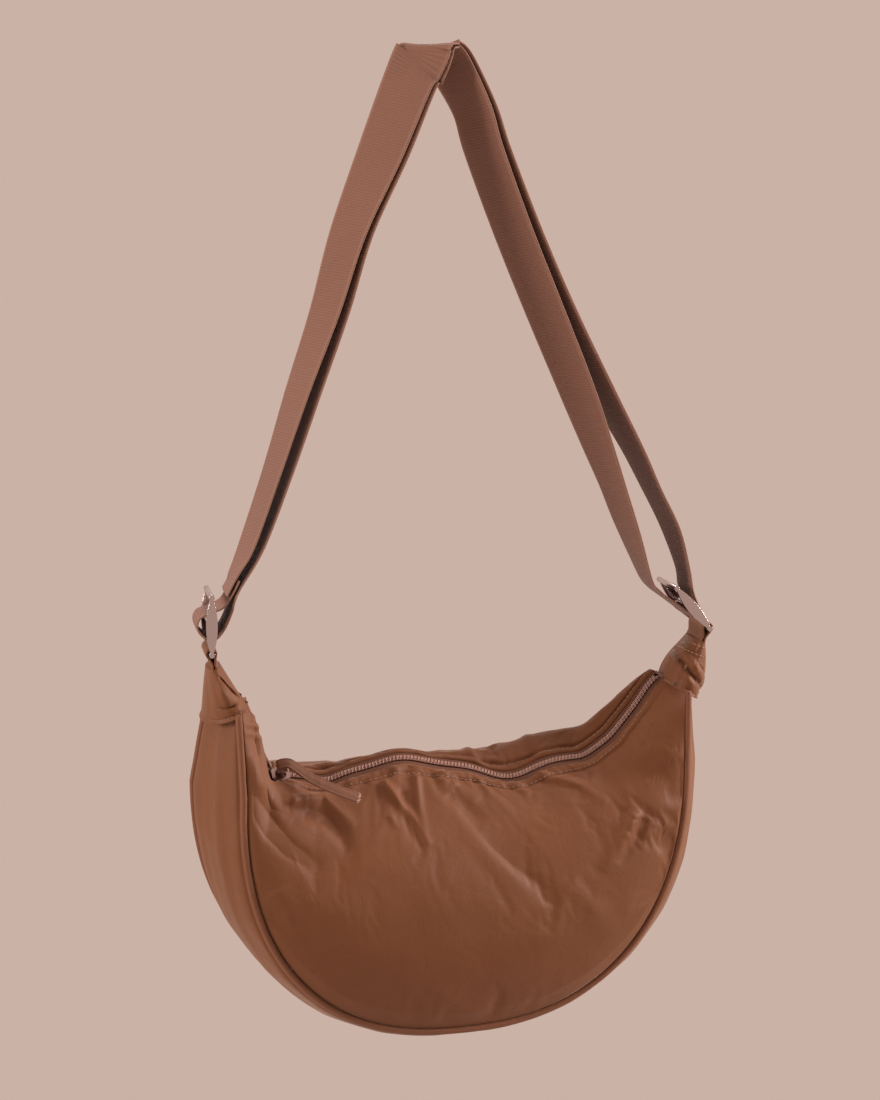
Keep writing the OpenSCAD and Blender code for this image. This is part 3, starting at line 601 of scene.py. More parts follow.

# %% [markdown]
# The folds of the front panel were picked in the photograph. Each is a short line of
# places in the plane of the front piping, with a height and a width in millimetres: a positive
# height is a soft ridge, a negative one a hollow. A fold is strongest at its first place.

# %% The folds that the photograph shows
FOLD_PLANE_Y = -38.0
VIEW_SLOPE = (0.352, -0.125)
FRONT_FOLDS = (
    (((-138, 34), (-132, 19), (-126, 6), (-120, 0), (-122, -7)), 2.2, 4.0),
    (((-146, 21), (-140, 6), (-130, -14), (-120, -22)), 1.6, 4.0),
    (((-146, -3), (-132, -25), (-120, -38), (-101, -51)), -2.4, 5.0),
    (((-122, -9), (-101, -9), (-92, -17), (-80, -28)), 2.2, 3.5),
    (((-112, -16), (-98, -22), (-88, -33), (-82, -44)), -1.6, 4.0),
    (((-62, -2), (-44, -23), (-39, -31), (-31, -42)), 2.0, 2.6),
    (((-41, 2), (-38, -22), (-34, -35)), 1.4, 2.6),
    (((-50, -8), (-46, -24), (-42, -40)), -1.2, 3.0),
    (((-57, -22), (-53, -30)), 0.9, 2.2),
    (((-26, 2), (-8, -14), (0, -19)), 1.7, 5.0),
    (((-18, -10), (-6, -22), (4, -32)), -1.2, 5.0),
    (((12, -5), (25, -9), (36, -16)), 1.4, 2.6),
    (((39, -4), (56, -8), (70, -12), (88, -23)), 1.8, 2.6),
    (((64, -3), (78, -8)), -1.4, 3.0),
    (((84, 4), (94, -6)), 1.3, 2.2),
    (((92, 10), (103, 1)), 1.2, 2.2),
    (((101, 20), (112, 12)), 1.2, 2.0),
    (((108, 31), (119, 24)), 1.0, 2.0),
    (((107, -31), (100, -44), (89, -57), (84, -66)), 1.4, 4.5),
    (((113, -34), (106, -48), (95, -62)), -1.2, 4.0),
    (((-128, -60), (-118, -84), (-100, -108)), 0.8, 7.0),
    (((60, -70), (84, -96), (96, -112)), 0.7, 9.0),
)
BACK_FOLDS = (
    (((8, 18), (13, 2), (19, -16)), 2.2, 3.2),
    (((74, 14), (78, 0), (84, -14)), -1.2, 6.0),
    (((52, 16), (60, -2), (64, -22)), 1.6, 3.6),
    (((100, 40), (106, 20), (118, 2)), 2.0, 4.0),
    (((-40, 14), (-34, -6), (-36, -30)), 1.8, 3.6),
    (((-78, 12), (-70, -8), (-74, -26)), -1.6, 4.0),
    (((-118, 20), (-106, 0), (-100, -24)), 2.2, 4.0),
    (((-20, 12), (-6, -10), (10, -24)), -1.4, 4.0),
    (((34, 12), (30, -14), (22, -40)), 1.4, 5.0),
    (((-60, -60), (-20, -74), (30, -70)), 0.8, 9.0),
)


def fold_relief(x, z, folds):
    """Height of the folds at places x, z: each one a rounded ridge that dies out."""
    here = np.stack([x, z], -1)
    total = np.zeros(len(here))
    for line, height, width in folds:
        line = np.array(line, float)
        steps = np.linalg.norm(np.diff(line, axis=0), axis=1)
        run = np.concatenate([[0], np.cumsum(steps)])
        nearest = np.full(len(here), 1e9)
        share = np.zeros(len(here))
        for a, b, start, length in zip(line[:-1], line[1:], run, steps):
            t = np.clip((here - a) @ (b - a) / length**2, 0, 1)
            away = np.linalg.norm(here - a - t[:, None] * (b - a), axis=1)
            closer = away < nearest
            nearest = np.where(closer, away, nearest)
            share = np.where(closer, (start + t * length) / run[-1], share)
        fade = np.minimum(1, share / 0.06 + 0.3) * np.sqrt(np.maximum(0, 1 - share))
        total += height * fade * np.exp(-((nearest / width) ** 2))
    return total


def cloth_normal(place, u, v):
    """The normal of a cloth, not of length one, from its places a small step away."""
    step = 1e-3
    u, v = np.minimum(u, 1 - step), np.minimum(v, 1 - step)
    here = place(u, v)
    return np.cross(place(u + step, v) - here, place(u, v + step) - here)


def raised(place, amount, out):
    """place(u, v) with its points moved along the cloth's outward normal by amount(p, u, v)."""
    def moved(u, v):
        p = place(u, v)
        return p + (out * amount(p, u, v))[:, None] * unit(cloth_normal(place, u, v))
    return moved


print(len(FRONT_FOLDS), "front folds,", len(BACK_FOLDS), "back folds")

# %% [markdown]
# The broad slack of the two panels comes from a short cloth simulation on a coarse grid: a
# cloth that is cut a little too large is held in its seams and filled from inside. The move
# that it makes is kept small and is added to the fine grid of the panel.

# %% Slack cloth, simulated
SLACK_ACROSS, SLACK_DOWN, SLACK_FRAMES, SLACK_IN = 170, 80, 20, 1.5
SLACK_CLOTH = {"vertex_group_mass": "seams", "quality": 6, "mass": 0.15,
               "tension_stiffness": 30, "compression_stiffness": 30, "shear_stiffness": 12,
               "bending_stiffness": 0.6, "use_pressure": True}


def slack_field(place, extra, push, cap, name):
    """How far slack cloth moves when it is pinned along its seams and filled from inside.

    The cloth is cut a share extra too large, so it has to buckle; the result is kept as a
    table over the flat grid, because the fine mesh is another grid over the same cloth."""
    form = grid_piece(name, SLACK_ACROSS, SLACK_DOWN, place)
    size = (SLACK_DOWN + 1, SLACK_ACROSS + 1, 3)
    start = np.empty(len(form.data.vertices) * 3)
    form.data.vertices.foreach_get("co", start)
    border = [r * size[1] + c for r in range(size[0]) for c in range(size[1])
              if r in (0, size[0] - 1) or c in (0, size[1] - 1)]
    form.vertex_groups.new(name="seams").add(border, 1.0, "REPLACE")
    cloth = form.modifiers.new("Cloth", "CLOTH")
    for key, value in SLACK_CLOTH.items():
        setattr(cloth.settings, key, value)
    cloth.settings.shrink_min = -extra
    cloth.settings.uniform_pressure_force = push
    cloth.settings.effector_weights.gravity = 0
    cloth.collision_settings.use_collision = False
    scene = bpy.context.scene
    for step in range(1, SLACK_FRAMES + 1):
        scene.frame_set(step)
    ready = form.evaluated_get(bpy.context.evaluated_depsgraph_get())
    end = np.empty_like(start)
    ready.data.vertices.foreach_get("co", end)
    bpy.data.objects.remove(form)
    scene.frame_set(1)
    moved = (end - start).reshape(size) * 1000
    far = np.linalg.norm(moved, axis=2, keepdims=True)
    print(name, "moved up to", round(float(far.max()), 1), "mm")
    moved = moved * np.minimum(1, cap / np.maximum(far, 1e-6))
    outward = 1 if push > 0 else -1
    moved[..., 1] = outward * np.maximum(-SLACK_IN, outward * moved[..., 1])
    return moved


def field_at(field, u, v):
    """The table's value at any place, smoothly between its rows and columns."""
    total = 0
    rows, cols = field.shape[0] - 1, field.shape[1] - 1
    y, x = np.clip(v, 0, 1) * rows, np.clip(u, 0, 1) * cols
    i, j = np.floor(y).astype(int), np.floor(x).astype(int)
    for a in range(-1, 3):
        for b in range(-1, 3):
            weight = cubic(y - i - a) * cubic(x - j - b)
            total = total + weight[:, None] * field[np.clip(i + a, 0, rows),
                                                    np.clip(j + b, 0, cols)]
    return total


def cubic(t):
    """The weight of a neighbour at distance t on a smooth line through points."""
    t = np.abs(t)
    near = 1.5 * t**3 - 2.5 * t**2 + 1
    far = -0.5 * t**3 + 2.5 * t**2 - 4 * t + 2
    return np.where(t < 1, near, np.where(t < 2, far, 0))


# %% [markdown]
# Front and back panels: padded nylon, cut from one piece each. Beside the zip the cloth is
# folded under and topstitched, so a narrow raised facing runs along the coil with a sunken
# stitch line behind it, and the thread gathers the cloth into small puckers. Two shallow
# hollows in the front leave room for the pull at the ends of its motions.

# %% Front and back panels
PANEL_ACROSS, PANEL_DOWN, PANEL_T = 300, 130, 1.2
SLACK = {-1: (0.020, -12.0, 7.0), 1: (0.010, 12.0, 4.0)}
FOLD_DEPTH, HOLLOW = {-1: 1.9, 1: 0.8}, 1.5
FACING_W, SINK = {-1: 7.0, 1: 4.5}, {-1: 1.1, 1: 2.2}
LUMP_DEPTH, LUMP_SIZES, FINE_SHARE = {-1: 0.7, 1: 0.35}, (42, 17), 0.4
PUCKER_DEPTH, PUCKER_SIZE, PUCKER_REACH, PUCKER_DRAWN = 1.1, 7, 15, 0.35
RIM_HELD, FOOT_HELD, EDGE_ROUND, NARROW, NARROW_EASE = 3, 9, 1.6, 24, 16
ROW_CROWDING, GATHERED_CORNER, KNOT_HIGH, KNOT_WIDE = 1.3, (-139.0, -16.0, 36.0), 2.4, 8
PARK_X, PARK_HALF, PARK_WIDE, PARK_CLEAR, PARK_EASE = 98, 40, 26, 42, 14
PARKED_FOLDS, PARKED_SLACK = 0.9, 0.85
FADE_LEFT, FADE_RIGHT, FADE_FOOT = (0.15, 0.18), (0.95, 0.10), 0.07
# Each hollow for the pull is a place, a depth and a width.
PULL_ROOM = (((118.0, -27.0, -9.0), 2.6, 12.0), ((-125.5, -7.0, 4.0), 3.4, 6.0))


def panel_row(v):
    return v**ROW_CROWDING


def panel_place(side):
    return lambda u, v: panel_point(u * COLS, panel_row(v), side)


def panel_relief(side):
    folds = FRONT_FOLDS if side < 0 else BACK_FOLDS

    def amount(p, u, v):
        rim = panel_point(u * COLS, 0 * v, side)
        foot = panel_point(u * COLS, 1 + 0 * v, side)
        from_rim, from_foot = apart(p, rim), apart(p, foot)
        ahead = FOLD_PLANE_Y - p[:, 1] if side < 0 else 0 * p[:, 1]
        x, z = p[:, 0] + VIEW_SLOPE[0] * ahead, p[:, 2] + VIEW_SLOPE[1] * ahead
        lumps = LUMP_DEPTH[side] * (smooth_noise(p, LUMP_SIZES[0], 1 + side)
                                    + FINE_SHARE * smooth_noise(p, LUMP_SIZES[1], 3 + side))
        seam = np.stack([p[:, 0], 0 * x, PUCKER_DRAWN * from_rim], -1)
        puckers = (smooth_noise(seam, PUCKER_SIZE, 9 + side)
                   * np.exp(-(from_rim / PUCKER_REACH)))
        held = np.minimum(1, from_rim / RIM_HELD) * np.minimum(1, from_foot / FOOT_HELD)
        wide = FACING_W[side]
        facing = (0.5 * bump(from_rim, wide / 2, wide / 3)
                  - SINK[side] * bump(from_rim, wide, 1.1))
        edge = -(np.maximum(0, 1 - from_rim / EDGE_ROUND) ** 2)
        level = fold_relief(x, z, folds)
        room = np.clip((apart(foot, rim) - NARROW) / NARROW_EASE, 0, 1)
        folded = np.maximum(FOLD_DEPTH[side] * level + lumps + PUCKER_DEPTH * puckers, -HOLLOW)
        parked = PARKED_FOLDS * pull_parks(p[:, 0], from_rim)
        folded = folded - parked * np.maximum(folded, 0)
        knot = (KNOT_HIGH * bump(apart(p, GATHERED_CORNER), 0, KNOT_WIDE)
                * (1 + 0.3 * np.sin(1.1 * p[:, 2] + 0.5 * p[:, 0])))
        given_way = sum(deep * bump(apart(p, at), 0, wide) for at, deep, wide in PULL_ROOM)
        return room * (held * folded + facing + edge) + (knot - given_way if side < 0 else 0)
    return amount


def pull_parks(x, away):
    """One where the pull strip lies at the end of its travel; the cloth stays low there."""
    near = bump(np.clip(x - PARK_X, -PARK_HALF, PARK_HALF), 0, PARK_WIDE)
    return near * np.clip((PARK_CLEAR - away) / PARK_EASE, 0, 1)


def with_slack(place, field):
    """The place with the simulated move added, less of it towards the narrow ends."""
    def moved(u, v):
        calm = (np.clip((u - FADE_LEFT[0]) / FADE_LEFT[1], 0, 1)
                * np.clip((FADE_RIGHT[0] - u) / FADE_RIGHT[1], 0, 1)
                * np.clip((1 - v) / FADE_FOOT, 0, 1))
        here, rim = place(u, v), place(u, 0 * v)
        calm = calm * (1 - PARKED_SLACK * pull_parks(here[:, 0], apart(here, rim)))
        return trimmed(here + calm[:, None] * field_at(field, u, v))
    return moved


slack_place = {}
for side, (extra, push, cap) in SLACK.items():
    field = slack_field(panel_place(side), extra, push, cap, "slack_panel")
    slack_place[side] = with_slack(panel_place(side), field)


def make_panel(name, side, node_name):
    panel = grid_piece(name, PANEL_ACROSS, PANEL_DOWN,
                       raised(slack_place[side], panel_relief(side), side), flip=side < 0)
    settle(thicken(panel, PANEL_T), shell_cloth, "shell_cloth", "bag", node_name)


make_panel("front_cloth", -1, "front_panel")
make_panel("back_cloth", 1, "back_panel")

# %% [markdown]
# The gusset is the long strip between the two pipings. Filled out from inside it stands proud
# of both seams, and its slack shows as soft folds that run along its length.

# %% Gusset
GUSSET_ALONG, GUSSET_ACROSS = 300, 48
LONG_FOLDS, MORE_AT_LEFT, SEAM_HELD, GROOVE, GROOVE_AT = 0.9, 1.4, 0.12, 1.5, 0.022


def gusset_place(u, v):
    return gusset_point(u * COLS, v)


def gusset_relief(p, u, v):
    along = np.stack([u * 9, 0 * u, v * 60], -1)
    long_folds = smooth_noise(along, 11, 5) * np.sin(np.pi * v)
    lumps = 0.8 * smooth_noise(p, 30, 6) + 0.3 * smooth_noise(p, 12, 7)
    folds = (LONG_FOLDS + MORE_AT_LEFT * bump(u, 0.08, 0.12)) * long_folds
    from_seam = np.minimum(v, 1 - v)
    held = np.minimum(1, from_seam / SEAM_HELD)
    return held * (folds + lumps) - GROOVE * bump(from_seam, GROOVE_AT, GROOVE_AT)


gusset_cloth = grid_piece("gusset_cloth", GUSSET_ALONG, GUSSET_ACROSS,
                          raised(gusset_place, gusset_relief, -1), flip=True)
settle(thicken(gusset_cloth, PANEL_T), shell_cloth, "shell_cloth", "bag", "gusset")

# %% [markdown]
# Piping is a thin cord wrapped in a bias strip of the same cloth, caught in the seam. It is a
# tube along the outline, a little uneven because the strip is pulled round the curve.

# %% Piping
PIPING_ALONG, PIPING_ROUND, PIPING_FULL, PIPING_UNEVEN = 420, 14, 1.04, 0.05


def piping_place(side):
    def place(u, v):
        j = u * COLS
        centre = outline(j, side)
        inward, across = outline_in(j, side), np.array([0, -side, 0.0])
        turn = 2 * np.pi * v
        uneven = PIPING_UNEVEN * smooth_noise(centre, 9, 11 + side)
        width = PIPING_D / 2 * (PIPING_FULL + uneven)
        ring = ((np.cos(turn) * width)[:, None] * inward
                + (np.sin(turn) * width)[:, None] * across)
        return trimmed(centre + ring)
    return place


for name, side in (("front_piping_cord", -1), ("back_piping_cord", 1)):
    cord = roll_up(grid_piece(name, PIPING_ALONG, PIPING_ROUND, piping_place(side)))
    settle(cord, piping_cloth, "piping_cloth", "bag", name.replace("_cord", ""))

# %% [markdown]
# The lining lies loose inside the shell, with a slip pocket on its back. It stops short of the
# zip and of both narrow ends, where the shell is too thin to hide it. No view shows it well, so
# a coarser grid and broader slack folds are enough.

# %% Lining and pocket
LINING_IN, LINING_T, LINING_ALONG, LINING_DOWN = 4.8, 0.6, 120, 44
LINING_SPAN, LINING_ENDS = (0.12, 0.97), (0.09, 0.93)


def lining_place(side):
    def place(u, v):
        row = lerp(*LINING_SPAN, v)
        return slack_place[side](lerp(*LINING_ENDS, u), row**(1 / ROW_CROWDING))
    return place


def lining_relief(side):
    def amount(p, u, v):
        slack = 0.5 * smooth_noise(p, 25, 15 + side)
        return -(LINING_IN + 0.6 + slack) * np.clip(0.55 + 3 * v, 0, 1)
    return amount


def line_bag(piece, node_name):
    settle(thicken(piece, LINING_T), lining_cloth, "lining_cloth", "bag", node_name)


for name, side in (("lining_front_cloth", -1), ("lining_back_cloth", 1)):
    piece = grid_piece(name, LINING_ALONG, LINING_DOWN,
                       raised(lining_place(side), lining_relief(side), side), flip=side > 0)
    line_bag(piece, name.replace("_cloth", ""))

lining_strip = grid_piece(
    "lining_gusset_cloth", LINING_ALONG, 16,
    raised(lambda u, v: gusset_point(u * COLS, lerp(0.12, 0.88, v)),
           lambda p, u, v: -(LINING_IN + 0.4 * (1 + smooth_noise(p, 20, 17))), -1))
line_bag(lining_strip, "lining_gusset")

POCKET_COLS, POCKET_ROWS, POCKET_IN = (11, 19), (0.24, 0.70), 6.6
pocket = grid_piece(
    "pocket_cloth", 60, 40,
    raised(lambda u, v: slack_place[1](lerp(*POCKET_COLS, u) / COLS,
                                       lerp(*POCKET_ROWS, v)**(1 / ROW_CROWDING)),
           lambda p, u, v: -(POCKET_IN + 0.8 * bump(v, 0, 0.15)), 1), flip=True)
line_bag(pocket, "inner_pocket")

# %% [markdown]
# A coil zip is one stiff filament wound into a flattened spiral on each tape. The loops of one
# half stand in the gaps of the other. Each half is a thin tube swept along such a spiral, with
# 2.3 millimetres from loop to loop, set along the zip by its true length.

# %% Zip coil
COIL_PITCH, COIL_WIRE, COIL_BUNCH = 2.3, 0.40, 0.8
COIL_HALF_W, COIL_HALF_H, COIL_Y, COIL_H = 1.4, 0.6, 0.3, {-1: 1.25, 1: 0.60}
COIL_STEPS, COIL_ROUND = 12, 6
COIL_START, COIL_END = -117.5, 138.5

zip_samples = np.linspace(-ZIP_HALF, ZIP_HALF, 4000)
zip_runs = run_along(zip_line(zip_samples))


def run_at(x):
    return np.interp(x, zip_samples, zip_runs)


def x_at(run):
    return np.interp(run, zip_runs, zip_samples)


coil_run = (float(run_at(COIL_START)), float(run_at(COIL_END)))
coil_turns = int((coil_run[1] - coil_run[0]) / COIL_PITCH)


def coil_path(side, t):
    """A point of the filament's centre line after t turns."""
    turn = 2 * np.pi * t
    forward = t + COIL_BUNCH * np.cos(turn) / (2 * np.pi) + (0.5 if side > 0 else 0)
    x = x_at(coil_run[0] + COIL_PITCH * forward)
    y = side * COIL_Y - COIL_HALF_W * np.cos(turn)
    return zip_offset(x, y, COIL_H[side] + COIL_HALF_H * np.sin(turn))


def coil_place(side):
    def place(u, v):
        t = u * (coil_turns - 1)
        here = coil_path(side, t)
        along = unit(coil_path(side, t + 0.02) - coil_path(side, t - 0.02))
        one = unit(np.cross(along, [1.0, 0, 0.05]))
        two = np.cross(along, one)
        angle = (2 * np.pi * v)[:, None]
        return here + COIL_WIRE * (np.cos(angle) * one + np.sin(angle) * two)
    return place


coil_halves = []
for name, side in (("zip_coil_front_wire", -1), ("zip_coil_back_wire", 1)):
    wire = grid_piece(name, coil_turns * COIL_STEPS, COIL_ROUND, coil_place(side))
    coil_halves.append(roll_up(wire))
print("coil of", coil_turns, "loops on each side,", round(coil_run[1] - coil_run[0]), "mm long")

# %% [markdown]
# The tapes are narrow woven strips. They lie under the coil and run in under the facings, and
# they narrow towards both ends of the zip.

# %% Zip tapes
TAPE_SPAN, TAPE_HALF_T, TAPE_FROM = (1.9, 7.4), 0.25, 0.06
TAPE_NARROWED, NARROW_FROM, NARROW_OVER, TAPE_GRID = 2.2, 26, 10, (300, 6)


def tape_place(side):
    def place(u, v):
        x = zip_x(lerp(TAPE_FROM, 1, u) * COLS)
        share = np.clip((np.abs(x) - ZIP_HALF + NARROW_FROM) / NARROW_OVER, 0, 1)
        narrow = TAPE_NARROWED * share
        return trimmed(zip_offset(x, side * lerp(TAPE_SPAN[0], TAPE_SPAN[1] - narrow, v),
                                  0 * x + TAPE_HALF_T))
    return place


tapes = []
for name, side in (("zip_tape_front_strip", -1), ("zip_tape_back_strip", 1)):
    strip = grid_piece(name, *TAPE_GRID, tape_place(side), flip=side < 0)
    tapes.append(thicken(strip, 2 * TAPE_HALF_T))

# %% [markdown]
# The coil is a smooth nylon filament, so it is lighter and glossier than the cloth, and the
# tapes beside it are darker. The strap sliders are bright plated steel with faint scratches,
# which only show where a lamp is mirrored in them; the metal of the zip is coated brown.

# %% Zip and metal materials
PLAIN_FLECK, PLAIN_ROUGH_RANGE = 0.06, 0.16


def plain_finish(name, colour, drift, roughness, metallic=0.0, grain=0.0):
    finish, tree, skin = surface(name, Metallic=metallic)
    where = add_node(tree, "ShaderNodeTexCoord").outputs["Object"]
    tone = place_group(tree, tones, {"Vector": where, "Colour": (*colour, 1), "Drift": drift,
                                     "Fleck": PLAIN_FLECK})
    streaks = add_node(tree, "ShaderNodeTexNoise", {"Vector": where, "Scale": 420.0,
                                                   "Detail": 5.0, "Distortion": 2.0})
    rough = math_node(tree, "MULTIPLY_ADD", streaks.outputs["Fac"], PLAIN_ROUGH_RANGE,
                      roughness - PLAIN_ROUGH_RANGE / 2)
    cover(tree, skin, math_node(tree, "MULTIPLY", streaks.outputs["Fac"], grain),
          Base_Color=tone.outputs["Colour"], Roughness=rough)
    return finish


COIL_BROWN = (0.520, 0.260, 0.190)
TAPE_BROWN = (0.170, 0.062, 0.034)
THREAD_BROWN = (0.330, 0.165, 0.098)
coil_finish = plain_finish("zip_coil", COIL_BROWN, 0.1, 0.30)
tape_finish = cloth_finish("zip_tape", TAPE_BROWN, 0.1, 400.0, 0.0002, 0.7, 0.06)
thread_finish = plain_finish("sewing_thread", THREAD_BROWN, 0.12, 0.5, grain=0.0001)
tab_thread = plain_finish("golden_thread", (0.47, 0.27, 0.14), 0.12, 0.5, grain=0.0001)
bright_metal = plain_finish("bright_metal", (0.60, 0.51, 0.50), 0.04, 0.18, 1.0, 0.00002)
zip_metal = plain_finish("zip_metal", (0.22, 0.105, 0.075), 0.08, 0.38, 0.25, 0.00002)
for half, node_name in zip(coil_halves, ("zip_coil_front", "zip_coil_back")):
    settle(half, coil_finish, "zip_coil", "bag", node_name)
for strip, node_name in zip(tapes, ("zip_tape_front", "zip_tape_back")):
    settle(strip, tape_finish, "zip_tape", "bag", node_name)
for node_name in ("zip_top_stops", "zip_bottom_stop"):
    settle(frame["nodes"][node_name], zip_metal, "zip_metal", None)

# %% [markdown]
# Stitches are modelled, because a seam is read by its stitches. One stitch is a small sphere
# drawn out to a capsule; copies of it are set end to end along a line on the cloth.

# %% Stitches
STITCH_LEN, STITCH_D, STITCH_PITCH = 2.6, 0.62, 3.3
TOPSTITCH_SPAN, TOPSTITCH_STEPS, SEARCHES, SEARCH_SCALE = (0.10, 0.95), 420, 12, 900

bpy.ops.object.select_all(action="DESELECT")
bpy.ops.mesh.primitive_uv_sphere_add(segments=6, ring_count=6, radius=0.5, location=(0, 0, 0))
stitch_form = bpy.context.object
edit_all(stitch_form, lambda: bpy.ops.transform.resize(value=(STITCH_D, STITCH_D, STITCH_LEN)))
stitch_verts = np.array([v.co for v in stitch_form.data.vertices])
stitch_faces = [tuple(p.vertices) for p in stitch_form.data.polygons]
bpy.data.objects.remove(stitch_form)


def lay_threads(name, rows, body, finish):
    """One mesh of many short threads; each row is (place, along, up, size)."""
    verts, faces = [], []
    for at, along, up, size in rows:
        across = unit(np.cross(along, up))
        up = np.cross(across, along)
        base = len(verts) * len(stitch_verts)
        verts.append(at + (stitch_verts * size) @ np.array([across, up, along]))
        faces += [tuple(base + i for i in f) for f in stitch_faces]
    mesh = bpy.data.meshes.new(name)
    mesh.from_pydata(in_frame(np.concatenate(verts)).tolist(), [], faces)
    mesh.update()
    thread = bpy.data.objects.new(name, mesh)
    bpy.context.scene.collection.objects.link(thread)
    edit_all(thread, lambda: bpy.ops.mesh.normals_make_consistent(inside=False))
    active_only(thread)
    bpy.ops.object.shade_smooth()
    return settle(thread, finish, "zip_tape", body)


def sew(name, line, normals, body, pitch=STITCH_PITCH, lift=0.12, size=1.0,
        finish=thread_finish):
    """Stitches along a line of millimetre points, lying on the cloth whose normals are given."""
    line = np.asarray(line, float)
    run = run_along(line)

    def on_line(values, place):
        return np.array([np.interp(place, run, values[:, k]) for k in range(3)])

    rows = []
    for place in np.arange(pitch / 2, run[-1] - pitch / 2, pitch):
        at, up = on_line(line, place), unit(on_line(normals, place))
        rows.append((at + lift * up, unit(on_line(line, place + 0.5) - at), up, size))
    return lay_threads(name, rows, body, finish)


def seam_on_panel(side, distance):
    """A line on a panel at a distance from its rim, with the cloth's normals."""
    u = np.linspace(*TOPSTITCH_SPAN, TOPSTITCH_STEPS)
    v = 0 * u
    for search in range(SEARCHES):
        away = apart(panel_point(u * COLS, panel_row(v), side),
                     panel_point(u * COLS, 0 * v, side))
        v = np.clip(v + (distance - away) / SEARCH_SCALE, 0, 0.3)
    place = raised(slack_place[side], panel_relief(side), side)
    return place(u, v), unit(side * cloth_normal(place, u, v))


for name, side in (("front_topstitch", -1), ("back_topstitch", 1)):
    line, normals = seam_on_panel(side, FACING_W[side])
    sew(name, line, normals, "bag")

# %% [markdown]
# The pull is a folded cloth strip on a stamped ring. The strip is tucked round the ring's far
# bar, curls over the zip and hangs down the front. Two stitch lines run along it, and its free
# end is raw, with a few frayed threads.

# %% Zip slider, ring and pull strip
REST_X, RING_Z, RING_LEAN, RING_LEN, RING_D = -115.95, 4.02, math.radians(100), 8.0, 1.2
PULL_W, PULL_T, PULL_REACH = 6.6, 2.0, 55.0
PULL_SHARES = ((0.078, -0.07, 0.03, 2, 45), (0.178, -0.13, -0.04, 8, 47),
               (0.287, -0.19, -0.12, 14, 50), (0.44, -0.26, -0.2, 20, 52),
               (0.605, -0.32, -0.27, 24, 52), (0.778, -0.36, -0.34, 26, 52))
PULL_LOOP = ((1.6, -1), (0, -1), (-1, 0), (0, 1))
PULL_GAP = 0.6
PULL_IN = RING_D / 2 + PULL_GAP + PULL_T / 2
PULL_STEPS, STITCH_SHARE, FRAY_COUNT = 14, 0.62, 15
LOOP_THINNED, LOOP_LEN, LOOP_EASE = 0.24, 13, 4


def tilted(x, z):
    """A direction in the zip's own upright plane, tilted with the zip."""
    return np.array([x, -z * math.sin(ZIP_TILT), z * math.cos(ZIP_TILT)])


ring_along = tilted(math.cos(RING_LEAN), math.sin(RING_LEAN))
ring_across = tilted(math.sin(RING_LEAN), -math.cos(RING_LEAN))
ring_tip = np.array([REST_X, 0, 0]) + tilted(0, RING_Z) + RING_LEN * ring_along
pull_line = [[*(ring_tip + PULL_IN * (a * ring_across + b * ring_along)), 0,
              math.degrees(ZIP_TILT)] for a, b in PULL_LOOP]
pull_line += [[*(ring_tip + PULL_REACH * np.array([x, y, z])), -turn, lift]
              for x, y, z, turn, lift in PULL_SHARES]


def smooth_line(line, steps):
    """The same smooth line through points as in the CAD source, with more steps."""
    p = np.array(line, float)
    n = len(p) - 1
    out = []
    for i in range(n):
        a, b, c, d = p[max(0, i - 1)], p[i], p[i + 1], p[min(n, i + 2)]
        for t in np.arange(steps) / steps:
            out.append((2 * b + (c - a) * t + (2 * a - 5 * b + 4 * c - d) * t * t
                        + (3 * b - a - 3 * c + d) * t**3) / 2)
    return np.array(out + [p[n]])


def band_frames(line):
    """Places, widthwise and upward directions of a band along [x, y, z, turn, lift] rows."""
    places = line[:, :3]
    along = unit(np.gradient(places, axis=0))
    turn = np.radians(line[:, 3])
    lift = np.tan(np.radians(line[:, 4])) if line.shape[1] > 4 else 0
    wish = points(-np.sin(turn), np.cos(turn), lift)
    across = unit(wish - (wish * along).sum(1, keepdims=True) * along)
    return places, across, np.cross(across, along)


def band_piece(name, line, width, depth, around=28, edge=0.3, relief=None):
    """A closed flat band with rounded edges. Its UV map is in metres: across, then along."""
    places, across, up = band_frames(line)
    steps = len(line) - 1
    run = run_along(places)

    def section(v):
        c, s = np.cos(2 * np.pi * v), np.sin(2 * np.pi * v)
        return np.sign(c) * np.abs(c) ** edge, np.sign(s) * np.abs(s) ** 0.35

    def place(u, v):
        i = np.clip(np.round(u * steps).astype(int), 0, steps)
        a, b = section(v)
        thick = depth / 2 * (1 if relief is None else relief(a, b, run[i]))
        return places[i] + (width / 2 * a)[:, None] * across[i] + (thick * b)[:, None] * up[i]

    piece = grid_piece(name, steps, around, place)
    for layer in piece.data.uv_layers.active.data:
        u, v = layer.uv
        i = min(steps, max(0, round(u * steps)))
        a, _ = section(np.array([v]))
        layer.uv = (float(a[0]) * width / 2000, float(run[i]) / 1000)
    return roll_up(piece)


def pull_relief(a, b, run):
    """Thinner along its two stitch lines and at its loop, and a little uneven."""
    rows = 0.26 * (bump(a, STITCH_SHARE, 0.12) + bump(a, -STITCH_SHARE, 0.12))
    worn = LOOP_THINNED * np.clip((LOOP_LEN - run) / LOOP_EASE, 0, 1)
    return 1 - rows - worn + 0.10 * np.sin(0.9 * run) * bump(a, 0, 0.5)


